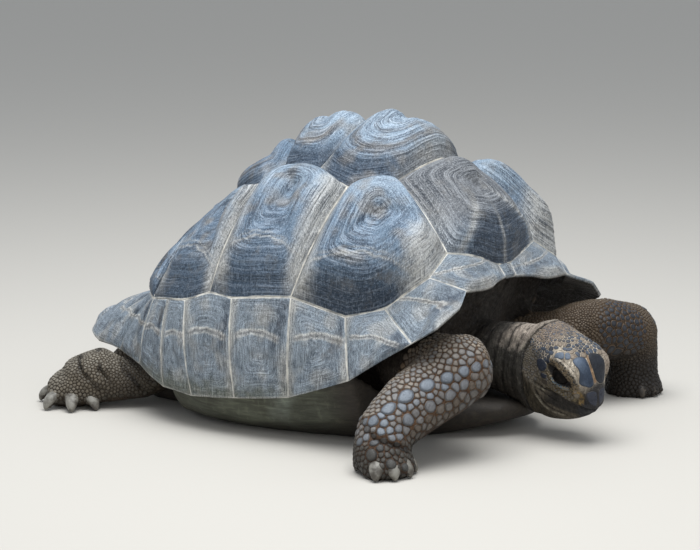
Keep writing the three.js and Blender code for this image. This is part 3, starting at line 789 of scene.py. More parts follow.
def skinParts(obj):  # the points of the head, the neck and the legs
    body, head = toBody(getPoints(obj)), toHead(getPoints(obj))
    forward, right, up = body.T
    isHead = (neckPlace(head) > 0) & (np.abs(right - 20) < 110) & (forward > 400)
    isNeck = (forward > 275) & (np.abs(right) < 95) & ~isHead
    isLeg = ((forward > legAhead) & (np.abs(right) > 110)) | ((forward < -255) & (np.abs(right) > 90) & (up < 140))
    return isHead, isNeck, isLeg


def neckPlace(head):  # mm along the neck, 6 at the hood crease
    return head[:, 0] * 0.806 + head[:, 2] * 0.592


def hoodPlace(head):  # where along the neck the hood's crease is
    ups = (-100, -82, -65, -44, -28, -10, 2, 14, 25, 33)
    place = np.interp(head[:, 2], ups, (8, 9, 7, 8, 6, 7, 9.5, 11.5, 16.5, 20.5))
    return place + 5 * ramp(-np.abs(head[:, 1]), -16, 0) * ramp(head[:, 2], 20, 33)


def buildSkin():
    obj = copyNodes(fleshNodes + ["eye_right", "eye_left"], "skin")
    remesh(obj, skinShape["voxel"], skinShape["smoothing"])
    shown = np.any(skinParts(obj), axis=0)
    editSelected(obj, ~shown, bpy.ops.mesh.decimate, ratio=skinShape["hiddenShare"])
    editAll(obj, (bpy.ops.uv.smart_project, {"angle_limit": 1.15, "island_margin": 0.003}))
    obj.data.uv_layers[0].name = "OFBake"
    editSelected(obj, np.any(skinParts(obj), axis=0), bpy.ops.mesh.subdivide, number_cuts=1, smoothness=0.6)
    editSelected(obj, skinParts(obj)[0], bpy.ops.mesh.subdivide, number_cuts=1, smoothness=0.5)
    head = toHead(getPoints(obj))
    nearEye = np.linalg.norm(np.abs(head) - (95, 46, 12), axis=1) < skinShape["eyeClose"]
    editSelected(obj, nearEye & (head[:, 0] > 0), bpy.ops.mesh.subdivide, number_cuts=1, smoothness=0.3)
    return obj


def nearLine(points, line):  # distance to an open line and the place along it, 0 to 1
    line = np.array(line, float)
    steps = np.linalg.norm(np.diff(line, axis=0), axis=1)
    begun = np.concatenate([[0], np.cumsum(steps)])
    best, where = np.full(len(points), 1e9), np.zeros(len(points))
    for i, length in enumerate(steps):
        along = (line[i + 1] - line[i]) / length
        t = np.clip((points - line[i]) @ along, 0, length)
        gap = np.linalg.norm(points - line[i] - t[:, None] * along, axis=1)
        closer = gap < best
        best[closer], where[closer] = gap[closer], (begun[i] + t[closer]) / begun[-1]
    return best, where


def stroke(points, line, width, height, taper=0.15):  # a ridge, or a dab where the line is one place
    if len(line) == 1:
        return height * bell(np.linalg.norm(points - np.array(line[0], float), axis=1), width)
    gap, where = nearLine(points, line)
    ends = ramp(where, -0.02, taper) * (1 - ramp(where, 1 - taper, 1.02)) if taper > 0 else 1
    return height * bell(gap, width) * ends


# Creases and ridges of the head: line in mm (along, right, up), width, height and taper.
headStrokes = {
    "hoodCrease": ([(83, 45, -100), (71, 59, -82), (56, 66, -65), (42, 68, -44), (28, 64, -28), (16, 57, -10),
        (10, 50, 2), (4, 44, 14), (2, 32, 25), (1, 16, 33), (3, 0, 38)], 1.9, -6.0, 0),
    "hoodEdge": ([(64, 64, -84), (49, 70, -68), (35, 72, -48), (21, 67, -32), (9, 60, -12), (3, 52, 0),
        (-3, 46, 12), (-5, 34, 23), (-6, 17, 32), (-4, 0, 37)], 3.6, 3.2, 0),
    "cheekCrease": ([(62, 60, -30), (66, 58, -39), (74, 57, -47), (88, 55, -54), (106, 49, -56), (127, 38, -55),
        (142, 26, -50)], 1.9, -4.2, 0.12),
    "cheekFold": ([(58, 63, -35), (66, 60, -46), (80, 58, -55), (102, 53, -62), (121, 44, -61), (137, 31, -57)],
        2.4, 2.8, 0.12),
    "throatCrease": ([(52, 67, -47), (64, 64, -62), (84, 60, -74), (110, 48, -77), (130, 32, -72)], 2.4, -2.4,
        0.12),
    "mouth": ([(67, 61, -35), (84, 56, -30), (100, 55, -22), (116, 51, -18), (128, 45, -18), (139, 39, -16),
        (152, 30, -16), (160, 23, -17), (168, 10, -18), (170, 0, -18)], 2.0, -4.8, 0.05),
    "lip": ([(96, 56, -17), (112, 53, -13), (128, 46, -12), (146, 35, -10), (160, 23, -11), (169, 0, -12)], 3.6,
        2.2, 0.1),
    "mouthCorner": ([(66, 60, -22), (84, 58, -26), (100, 54, -22)], 1.8, -1.8, 0.2),
    "jawCrease": ([(72, 58, -40), (92, 55, -37), (112, 51, -33), (130, 43, -29)], 1.8, -2.2, 0.2),
    "snoutCrease": ([(140, 34, 16), (148, 27, 4), (156, 24, -8)], 2.2, -1.8, 0.2),
    "jawEdge": ([(100, 52, -50), (114, 50, -47), (130, 41, -45), (146, 30, -43), (156, 20, -40), (162, 0, -38)],
        1.8, -2.8, 0.1),
    "eyeCrease": ([(89, 58, -3), (104, 55, -8), (118, 48, -7), (128, 42, 0)], 1.6, -1.8, 0.2),
    "eyeLow": ([(96, 57, -9), (112, 53, -12), (126, 46, -9)], 1.6, -1.2, 0.2),
    "nostril": ([(157, 6.5, 8)], 3.2, -3.2),
    "noseTip": ([(168, 0, -6)], 9, 1.5),
    "throat": ([(104, 26, -92)], 36, 11.0),
    "chin": ([(136, 14, -66)], 22, 5.0),
    "median": ([(90, 5, 55), (111, 6, 50), (125, 6, 41), (140, 3, 28), (148, 2, 20)], 2.2, -1.6, 0.1),
    "crown": ([(76, 26, 54)], 32, 4.0),
    "brow": ([(108, 38, 42)], 19, 5.0),
    "leftBrow": ([(100, -30, 46)], 30, 4.0),
    "nape": ([(-12, 0, 32)], 30, 1.5),
    "jawTip": ([(166, 12, -34)], 13, -3.0),
}
# Places of an eye and its lids in mm (along, right, up) of the skull, then sizes in mm.
eyePlan = {"centre": (95, 38, 10), "back": (66, 56, 13), "front": (127, 41, 10), "upper": 12.0, "lower": 10.5,
           "ball": 15.2, "lidOver": 21.2, "upperLid": 6.0, "lowerLid": 2.6}


singleStrokes = ("median", "leftBrow")  # the others are on both sides


def eyeSpace(head):  # place along the slit from -1 to 1, and mm above it
    side = oneSide(head)
    back, front, centre = (np.array(eyePlan[k], float) for k in ("back", "front", "centre"))
    mid = (back + front) / 2
    along = front - back
    half = np.linalg.norm(along) / 2
    along /= 2 * half
    out = mid - centre
    out = out - along * (out @ along)
    out /= np.linalg.norm(out)
    above = np.cross(along, out)
    if above[2] < 0:
        above = -above
    s, t = (side - mid) @ along / half, (side - mid) @ above
    outward = (side - centre) @ out
    limit = np.where(t > 0, eyePlan["upper"], eyePlan["lower"]) * np.maximum(1 - s ** 2, 0) ** 0.62
    past = np.abs(t) - limit + np.maximum(np.abs(s) - 1, 0) * half  # mm outside the opening, less than 0 inside
    return s, t, past, outward, side - centre


def sculptHead(co):  # lids round the eyes, and hollows for the eyeballs
    head = toHead(co)
    work = (neckPlace(head) > -16) & (head[:, 0] > -45) & (np.abs(head[:, 1]) < 100)
    part = head[work]
    s, t, past, outward, ray = eyeSpace(part)
    span = np.linalg.norm(ray, axis=1)
    close = (1 - ramp(span, 27, 40)) * (outward > 0)
    full = np.maximum(span, eyePlan["lidOver"])
    moved = span + (full - span) * close * (1 - ramp(np.abs(s), 0.7, 1.2))
    lid = np.where(t > 0, eyePlan["upperLid"] * bell(past - 6.5, 5.4), eyePlan["lowerLid"] * bell(past - 2.2, 3.0))
    moved += lid * close * (1 - ramp(np.abs(s), 0.95, 1.3)) * ramp(past, -0.5, 0.8)
    moved -= close * 3.0 * bell(past - 13.5, 1.8) * (t > 0)
    moved -= close * 1.4 * bell(past - 7, 1.5) * (t < 0)
    inside = (1 - ramp(past, -1.4, 0.3)) * close
    deep = np.maximum(eyePlan["ball"], moved - 8)
    moved = moved + (deep - moved) * inside
    head[work] = part + (moved / span - 1)[:, None] * ray * np.where(part[:, 1:2] < 0, [[1, -1, 1]], [[1, 1, 1]])
    return np.array(headOrigin) + head @ headAxesArray / 1000


# Folds across the neck: place along it, depth and width in mm.
neckFoldPlan = [
    (-13, 3.0, 1.6), (-24, 1.6, 1.4), (-36, 4.2, 2.0), (-45, 1.8, 1.4), (-58, 4.6, 2.2),
    (-66, 2.2, 1.6), (-81, 5.0, 2.4), (-93, 2.4, 1.8), (-108, 5.0, 2.6), (-124, 3.4, 2.2), (-142, 4.6, 2.6),
    (-163, 4.0, 2.6)]


def neckSkin(body, head):
    forward, right, up = body.T
    return (forward > 255) & (np.abs(right - 10) < 105) & (neckPlace(head) < hoodPlace(head)) & (up > 20)


def neckFolds(co, place):
    wobble = noiseAt(co, 9, 2.0, 1) * 14 + noiseAt(co, 30, 6.0, 1) * 3
    fade = 0.55 + 0.6 * noiseAt(co, 13, 8.0, 1)
    fold = np.zeros(len(co))
    for k, (at, depth, width) in enumerate(neckFoldPlan):
        gap = place + wobble * (1 + 0.15 * (k % 3)) - at
        fold -= depth * (fade if k % 2 else 1.2 - 0.4 * fade) * bell(gap, width)
        fold += depth * 0.4 * bell(gap + 6, 4.5)
    return fold


def liftSkin(co, normals):  # mm that each point of the skin moves out
    body, head = toBody(co), toHead(co)
    lift = np.zeros(len(co))
    place = neckPlace(head)
    onHead = (place > -14) & (np.abs(head[:, 1]) < 100) & (head[:, 0] > -45) & (body[:, 0] > 380)
    single, double = head[onHead], oneSide(head[onHead])
    for name, shape in headStrokes.items():
        lift[onHead] += stroke(single if name in singleStrokes else double, *shape)
    neck = neckSkin(body, head)
    lift[neck] += neckFolds(co[neck], place[neck]) * (1 - 0.6 * ramp(normals[neck, 2], 0.35, 0.85))
    for line, width, height, taper in limbStrokes:
        ends = np.array(line, float)
        near = (body > ends.min(0) - 25).all(1) & (body < ends.max(0) + 25).all(1)
        lift[near] += stroke(body[near], line, width, height, taper)
    for centre, radius, height in limbDabs:
        near = np.linalg.norm(body - centre, axis=1) < radius * 2.6
        lift[near] += stroke(body[near], [centre], radius, height)
    limb = (body[:, 0] > legAhead) | (body[:, 0] < -240)
    rough = noiseAt(co[limb], 42, 4.0, 2) * skinShape["wrinkle"]
    lift[limb] += rough * np.where(onHead[limb], skinShape["headWrinkle"], 1.0)
    return lift


# Creases and ridges of the limbs: line in mm (forward, right, up) from the body's middle, width, height and taper.
limbStrokes = [
    ([(300, 395, 96), (330, 412, 82), (352, 428, 67), (382, 411, 57), (396, 381, 46)], 4.0, -4.5, 0.15),
    ([(330, 400, 92), (352, 424, 80), (378, 412, 70), (398, 392, 58)], 6.0, 2.0, 0.15),
    ([(-398, 250, 96), (-376, 280, 77), (-350, 285, 56), (-325, 262, 28)], 4.6, -7.0, 0.1),
    ([(-372, 225, 110), (-339, 268, 77), (-312, 262, 50), (-292, 240, 20)], 4.6, -7.0, 0.1),
    ([(-345, 195, 114), (-305, 234, 74), (-279, 222, 42), (-265, 210, 22)], 4.6, -6.0, 0.1),
    ([(-385, 262, 92), (-357, 277, 70), (-335, 270, 42)], 8.0, 3.0, 0.1),
    ([(-360, 235, 104), (-325, 262, 72), (-300, 248, 40)], 8.0, 3.0, 0.1),
    ([(-398, -150, 70), (-380, -212, 52), (-352, -204, 26)], 4.0, -5.0, 0.1),
    ([(-360, -145, 72), (-345, -196, 50), (-322, -188, 24)], 4.0, -5.0, 0.1),
]
# Swellings and hollows of the limbs: centre, radius and height in mm.
limbDabs = [
    ((352, 438, 44), 13, 4.0), ((384, 430, 30), 12, 4.0), ((402, 411, 20), 11, 3.0), ((322, 430, 44), 12, 3.0),
    ((380, 238, 196), 58, 9.0), ((338, 330, 146), 42, 5.0), ((436, 262, 120), 40, 3.0),
    ((316, 432, 4), 24, -11.0), ((372, 425, 42), 9, 2.5), ((455, -258, 195), 46, 8.0),
    ((478, -275, 165), 62, 12.0), ((512, -335, 118), 50, 10.0), ((452, -300, 92), 40, 9.0),
    ((425, -235, 190), 46, 7.0),
]

skin = buildSkin()
report(f"skin, {len(skin.data.polygons)} faces")
setPoints(skin, sculptHead(getPoints(skin)))
skinNormals = getNormals(skin)
setPoints(skin, getPoints(skin) + skinNormals * (liftSkin(getPoints(skin), skinNormals) / 1000)[:, None])
flat = getPoints(skin)
flat[:, 2] = np.maximum(flat[:, 2], skinShape["lowest"])
setPoints(skin, flat)
report("skin shaped")


skinTones = {
    # fold is painted shade, for creases and the lower left foreleg.
    "limb": rgb(92, 66, 45), "limbShade": rgb(56, 44, 34), "fold": rgb(30, 25, 20), "limbLeft": rgb(70, 56, 42),
    "neck": rgb(60, 57, 51), "nape": rgb(168, 156, 143), "throat": rgb(62, 55, 41), "crown": rgb(194, 183, 166),
    "crownBack": rgb(138, 121, 106), "cheek": rgb(92, 84, 72), "beak": rgb(44, 44, 48),
    "beakTan": rgb(150, 124, 76), "lid": rgb(116, 99, 75), "lidRimGlint": rgb(104, 136, 158), "hind": rgb(86, 76, 62),
    "underShade": rgb(44, 37, 30), "streak": rgb(158, 152, 134), "lip": rgb(104, 92, 66), "median": rgb(172, 140, 108),
    # blackAndShade: black flecks of the lips and lids, and painted shade in creases, under the upper beak and inside
    # the eye opening.
    "blackAndShade": rgb(24, 22, 22),
}
# How high the mouth and the jaw's edge are along the head, in mm.
mouthUp = ((60, 84, 100, 116, 128, 139, 152, 160, 172), (-40, -30, -22, -18, -18, -16, -16, -17, -18))
jawUp = ((96, 114, 130, 146, 154, 164), (-52, -46, -44, -42, -39, -36))


def underShell(body):  # 1 where the skin gets painted shade from the shell
    forward, right, up = body.T
    left = 312 + 50 * ramp(up, 150, 200) * (1 - ramp(-right, 200, 260))
    edge = np.interp(up, (95, 123, 152, 177, 204, 215), (268, 288, 306, 320, 344, 360))
    begin = np.where(right > legAside, edge, left)
    lit = ramp(forward - begin, -10, 20) * np.where(right > legAside, 1, 1 - ramp(up, 175, 225) * (forward < 370))
    return (forward > -250) * (1 - lit)


# Lines coloured on the head: stroke, tone, mm where it begins to fade and ends, share. The dark lines are painted
# shade in the creases.
headLines = (
    ("cheekCrease", "blackAndShade", 0.8, 3.2, 0.85), ("throatCrease", "blackAndShade", 0.5, 3.0, 0.6),
    ("mouth", "blackAndShade", 1.2, 4.2, 0.95), ("jawCrease", "blackAndShade", 0.8, 3.0, 0.6),
    ("mouthCorner", "blackAndShade", 0.5, 2.5, 0.6), ("jawEdge", "blackAndShade", 0.5, 2.5, 0.7),
    ("eyeCrease", "blackAndShade", 0.5, 2.6, 0.6), ("cheekFold", "streak", 0.4, 2.6, 0.8),
)

tanLine = [(134, 37, 4), (141, 32, 5), (148, 28, -1), (152, 29, -9)]

medianLine = [(88, 5, 56), (95, 6, 55), (111, 6, 50), (125, 6, 41), (140, 3, 28)]

cheekLine = [(64, 59, -36), (74, 57, -39), (90, 56, -32)]


def skinTint(co, normals):
    body, head = toBody(co), toHead(co)
    forward, right, up = body.T
    side = oneSide(head)
    along, height = side[:, 0], side[:, 2]
    upward = normals[:, 2]
    cloud = noiseAt(co, 16, 1.0, 2)
    fleck = noiseAt(co, 110, 5.0, 2)
    speck = noiseAt(co, 290, 7.0, 1)
    paint = Paint(skinTones, "limb", len(body))
    lay = paint.lay

    def near(points, line, inner, outer):
        return 1 - ramp(nearLine(points, line)[0], inner, outer)

    place, hood = neckPlace(head), hoodPlace(head)
    foreleg, hindleg = forward > 280, forward < -240
    # Painted shade: the far left foreleg gets a darker skin tone.
    lay("limbLeft", (right < -100) * foreleg * 0.9)
    # Painted shade where the shell hangs over the skin.
    lay("underShade", underShell(body))
    lay("hind", hindleg)
    # Painted shade on the legs where they face down and near the floor.
    lay("limbShade", 0.75 * ramp(-upward, 0.1, 0.7) * foreleg)
    lay("limbShade", 0.7 * ramp(-up, -70, -25) * foreleg)
    lay("limbShade", 0.55 * ramp(-up, -70, -20) * hindleg)
    # Painted shade on the lower left foreleg.
    lay("fold", 0.75 * ramp(-up, -150, -80) * (right < -100) * foreleg)
    isNeck = (forward > 262) * (np.abs(right - 12) < 100) * (up > 15)
    lay("neck", isNeck)
    lay("nape", isNeck * 0.9 * ramp(upward, 0.3, 0.75) * ramp(place, -70, -25))
    # Painted shade on the neck near the shell and where it faces down.
    lay("underShade", isNeck * (0.8 * ramp(-place, 50, 100) + 0.6 * ramp(-upward, 0.0, 0.5)))
    neck = neckSkin(body, head)
    crease = np.zeros(len(body))
    crease[neck] = ramp(-neckFolds(co[neck], place[neck]), 0.5, 2.2)
    # Painted shade in the neck's creases.
    lay("fold", 0.95 * crease)

    isHead = isNeck * ramp(place - hood, -2, 1) * (head[:, 0] > -30)
    lay("cheek", isHead)
    lay("crown", isHead * ramp(height + 6 * cloud, 2, 22))
    lay("crownBack", isHead * 0.85 * ramp(height, 14, 28) * ramp(-along + cloud * 18, -58, -20))
    lay("crownBack", isHead * 0.7 * ramp(-head[:, 1], 20, 34) * ramp(along, 80, 94))
    lay("throat", isHead * ramp(-height - 0.35 * along + cloud * 6, 14, 34) * ramp(-height, 36, 50))
    mouth = np.interp(along, *mouthUp)
    lip = isHead * ramp(along, 76, 98) * ramp(height - mouth, -2, 2) * ramp(-height, -6, 4)
    lay("lip", lip * 0.9)
    lay("blackAndShade", lip * 0.6 * ramp(fleck, 0.0, 0.35))
    jaw = ramp(mouth - height, 0, 3) * ramp(height - np.interp(along, *jawUp), -2, 1.5) * ramp(along, 90, 108)
    # The dark lower beak, with painted shade beneath the upper beak.
    lay("blackAndShade", isHead * 0.85 * jaw)
    lay("beak", isHead * 0.95 * ramp(along + 0.2 * height + 3 * cloud, 143, 152))
    lay("beakTan", isHead * 0.85 * near(side, tanLine, 2.5, 6.5) * ramp(fleck, -0.5, -0.1))
    lay("median", isHead * near(head, medianLine, 1.8, 4.0))
    for name, tone, inner, outer, most in headLines:
        lay(tone, isHead * most * near(side, headStrokes[name][0], inner, outer))
    lay("streak", isHead * 0.55 * near(side, cheekLine, 0.5, 2.6))
    # Painted shade in the hood's crease.
    lay("blackAndShade", isNeck * 0.95 * near(side, headStrokes["hoodCrease"][0], 1.3, 3.4))
    lay("streak", isNeck * 0.35 * near(side, headStrokes["hoodEdge"][0], 0.5, 3.0) * ramp(upward, 0.0, 0.5))

    s, t, past, outward, ray = eyeSpace(head)
    socket = (np.linalg.norm(ray, axis=1) < 42) & (outward > 0)
    lid = socket * (1 - ramp(np.abs(s), 1.1, 1.5))
    upper = lid * (1 - ramp(past, 10, 14)) * (t > 0)
    lay("lid", 0.9 * upper)
    lay("blackAndShade", 0.85 * upper * ramp(speck + 0.5 * fleck, 0.0, 0.3))
    lay("streak", 0.7 * upper * ramp(-speck + 0.3 * cloud, 0.2, 0.45))
    # Painted shade in the upper lid's crease.
    lay("blackAndShade", lid * 0.7 * bell(past - 13.5, 1.6) * (t > 0))
    lay("lip", lid * 0.8 * (1 - ramp(past, 5, 9)) * (t < 0))
    # A painted bluish glint along the lower lid's rim.
    lay("lidRimGlint", socket * 0.9 * (t < 0) * bell(past - 1.8, 1.7) * ramp(s, -0.55, 0.0) * (1 - ramp(s, 0.8, 1.0)))
    # Painted shade inside the eye opening round the ball.
    lay("blackAndShade", socket * (1 - ramp(past, -0.8, 0.8)))
    # Painted shade in the limbs' creases.
    for line, width, depth, taper in limbStrokes:
        if depth < 0:
            lay("fold", 0.7 * near(body, line, 2, 7))
    return paint.colour * (1 + 0.12 * cloud[:, None])


def skinLook():
    look = Nodes("dry scaly skin")
    tint, here = look.attribute("tint", "Color"), look.place()
    cloud = look.noise(here, 26, 4, 0.6)
    mottle = look.noise(here, 120, 3, 0.65)
    grain = look.noise(here, 420, 3, 0.6)
    cells, creases = look.cells(here, 330.0), look.cells(here, 95.0)
    wrinkles = look.noise(look.place((0.2, 1.0, 0.2)), 230.0, 3, 0.6)
    dark = look.shade(tint, (0.30, 0.28, 0.27))
    pale = look.mix(0.06, look.shade(tint, (1.7, 1.65, 1.55)), (0.62, 0.56, 0.48))
    colour = look.layers(
        tint,
        (cloud, 0.42, 0.68, 0.45, dark), (mottle, 0.52, 0.68, 0.5, dark), (mottle, 0.46, 0.32, 0.4, pale),
        (cells, 0.10, 0.0, 0.55, dark), (creases, 0.05, 0.0, 0.35, dark), (wrinkles, 0.52, 0.62, 0.55, dark))
    bumps = look.bumps((look.range(cells, 0.0, 0.28), 0.0009, 0.7), (look.range(wrinkles, 0.62, 0.45), 0.0028, 0.7),
                       (look.range(creases, 0.0, 0.09), 0.0009, 0.6), (grain, 0.0006, 0.5))
    roughness = look.range(mottle, 0.3, 0.7, 0.55, 0.8)
    look.connect(Base_Color=colour, Roughness=roughness, Specular_IOR_Level=0.32, Normal=bumps)
    return look.material


skinNormals = getNormals(skin)
markPoints(skin, "tint", skinTint(getPoints(skin), skinNormals), "FLOAT_COLOR")
skin.data.materials.append(skinLook())
smoothShade(skin)
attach(skin, "root")
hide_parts(*fleshNodes)
report("skin painted")


# Scales over the skin, and the large plates of the head.

scalePlan = {
    "seed": 11, "colourSeed": 3, "rounds": 14,
    "cover": 0.98,  # smaller for more scales
    "vary": (0.82, 1.2),
    "groove": 0.6,  # mm between two scales
    "corner": 12.0,  # higher for sharper corners
    "sides": 12,
    "fine": 3.2,  # mm half width, up to which a scale has half the points
    "wrapped": 4.4,  # mm half width, above which the rim follows the skin
    "thick": (0.34, 0.78, 0.25),  # factor and power of the half width, and mm added
    "headThick": 0.5,
    "slant": 0.3,  # how much higher the lower end stands
    "spacing": 0.97, "pushOthers": 0.36, "pushStops": 0.8,
    "longestMove": 0.004,
    "uvReach": 0.0014,
}
# Scales with a place of their own on the right foreleg: body place in mm, half width, how much longer along the leg.
bigScales = [
    ((339, 411, 95), 12.0, 1.2), ((355, 388, 113), 14.0, 1.25), ((374, 359, 131), 15.0, 1.25),
    ((397, 327, 147), 14.5, 1.25), ((420, 298, 157), 13.0, 1.2), ((436, 270, 165), 11.0, 1.15),
    ((449, 248, 170), 10.0, 1.15), ((459, 226, 173), 9.0, 1.15), ((372, 410, 84), 8.5, 1.2),
    ((394, 380, 98), 12.0, 1.1), ((417, 342, 116), 12.5, 1.1), ((432, 305, 130), 11.5, 1.2),
    ((444, 278, 144), 9.5, 1.2), ((352, 430, 62), 8.5, 1.3), ((352, 441, 44), 13.0, 1.0),
    ((386, 432, 30), 12.0, 1.0), ((322, 428, 60), 9.0, 1.1), ((404, 412, 22), 9.5, 1.0),
]
# Share of the width, of the height and of the rim's tone, for each ring of points.
scaleRings = ((1.0, -0.5, 1.0), (0.92, 0.55, 0.75), (0.62, 0.94, 0.25))

fineRings = ((1.0, -0.5, 1.0), (0.78, 0.75, 0.5))

shieldRings = (
    (1.0, -0.7, 1.0), (0.955, 0.55, 0.85), (0.88, 0.95, 0.35), (0.7, 1.15, 0.0), (0.4, 1.25, 0.0),
    (0.0, 1.3, 0.0))

# The large plates of the head: tone, on both sides or not, outline in mm (along, right, up) of the skull.
headShields = {
    "temple": ("temple", True, [(43, 55, 3), (49, 53, 11), (58, 53, 13), (67, 55, 12), (71, 56, 4), (66, 57, -6),
        (58, 58, -8), (49, 57, -4)]),
    "behindEye1": ("temple", True, [(66, 57, -9), (74, 57, -4), (79, 56, -3), (80, 57, -9), (74, 57, -15),
        (68, 57, -14)]),
    "behindEye2": ("templeBrown", True, [(76, 57, -17), (82, 57, -11), (87, 56, -12), (88, 56, -18),
        (83, 57, -22), (78, 57, -23)]),
    "aboveTemple": ("temple", True, [(59, 52, 16), (62, 50, 21), (68, 52, 21), (67, 55, 15), (62, 54, 14)]),
    "brow1": ("browPale", True, [(67, 47, 30), (64, 43, 37), (68, 39, 42), (73, 36, 45), (83, 42, 42),
        (77, 46, 35), (72, 48, 29)]),
    "brow2": ("browPale", True, [(76, 35, 47), (80, 31, 50), (91, 36, 48), (87, 41, 43)]),
    "crown1": ("crownBlue", True, [(51, 46, 28), (54, 43, 33), (60, 43, 34), (61, 46, 30), (56, 48, 26)]),
    "crown2": ("crownBlue", True, [(34, 47, 21), (38, 45, 26), (44, 45, 27), (43, 48, 22), (37, 49, 19)]),
    "crown3": ("crownBlue", True, [(51, 40, 38), (54, 36, 43), (60, 36, 43), (57, 40, 38)]),
    "crown4": ("crownBlue", True, [(64, 33, 46), (66, 28, 49), (73, 29, 49), (71, 33, 47)]),
    "lidStrip": ("temple", True, [(105, 44, 40), (110, 41, 40), (117, 38, 36), (123, 37, 27), (126, 37, 21),
        (122, 40, 24), (117, 42, 31), (111, 44, 37)]),
    "snoutRight": ("prefront", False, [(95, 36, 49), (93, 29, 52), (95, 20, 55), (101, 12, 54), (110, 11, 51),
        (124, 9, 41), (132, 8, 35), (140, 7, 27), (144, 9, 23), (144, 16, 19), (140, 22, 20), (134, 30, 20),
        (128, 33, 24), (125, 34, 31), (121, 33, 37), (112, 35, 46), (103, 37, 47)]),
    "snoutLeft": ("prefrontDark", False, [(96, 1, 56), (98, -10, 55), (102, -20, 52), (112, -26, 47),
        (126, -27, 36), (136, -25, 26), (142, -17, 21), (145, -6, 23), (139, 1, 29), (124, 4, 42), (110, 5, 50)]),
    "noseRight": ("nose", False, [(147, 23, 11), (150, 10, 17), (154, 3, 13), (163, 3, 0), (167, 5, -8),
        (162, 14, -6), (155, 21, 1)]),
    "noseLeft": ("nose", False, [(148, -21, 11), (150, -8, 17), (154, -1, 13), (163, -1, 0), (167, -4, -8),
        (162, -13, -6), (155, -20, 1)]),
}
# In mm: how high plates stand, the gap round them, and the radius below which they rise less.
shieldShape = {"around": 40, "rise": 1.25, "gap": 1.2, "full": 9, "uvReach": 0.0024}


def shieldOutlines():  # tone and closed outline of each plate, with the left copies
    out = []
    for tone, both, outline in headShields.values():
        for sign in (1, -1) if both else (1,):
            corners = np.array(outline, float) * (1, sign, 1)
            many = shieldShape["around"]
            place = np.arange(many) * len(corners) / many
            out.append((tone, around(corners, np.full((len(corners), 1), 0.3), place.astype(int), place % 1)))
    return out


def inShields(head, margin):  # places covered by a plate, with a margin in mm
    covered = np.zeros(len(head), bool)
    for tone, loop in shieldOutlines():
        mid = loop.mean(0)
        axes = np.linalg.svd(loop - mid)[2]
        flatLoop, flatHead = (loop - mid) @ axes[:2].T, (head - mid) @ axes[:2].T
        reach = np.linalg.norm(flatLoop, axis=1)
        angles = np.arctan2(flatLoop[:, 1], flatLoop[:, 0])
        order = np.argsort(angles)
        turn = np.arctan2(flatHead[:, 1], flatHead[:, 0])
        limit = np.interp(turn, angles[order], reach[order], period=2 * math.pi)
        covered |= (np.linalg.norm(flatHead, axis=1) < limit + margin) & (np.abs((head - mid) @ axes[2]) < 14)
    return covered


def skinTree():
    bm = bmesh.new()
    bm.from_mesh(skin.data)
    bmesh.ops.triangulate(bm, faces=bm.faces)
    tree = BVHTree.FromBMesh(bm)
    uvLayer = bm.loops.layers.uv["OFBake"]
    bm.faces.ensure_lookup_table()
    faceUv = np.array([[loop[uvLayer].uv[:] for loop in face.loops] for face in bm.faces]).mean(1)
    centres = np.array([face.calc_center_median()[:] for face in bm.faces])
    corners = np.array([[v.co[:] for v in face.verts] for face in bm.faces])
    directions = np.array([face.normal[:] for face in bm.faces])
    areas = np.array([face.calc_area() for face in bm.faces])
    bm.free()
    return tree, faceUv, centres, corners, directions, areas


# Half widths in mm, where they don't change with the place.
scaleWidth = {"foot": 4.6, "claws": 5.6, "inner": 4.7, "tail": 4.6, "upperLid": 1.75, "lowerLid": 1.5}


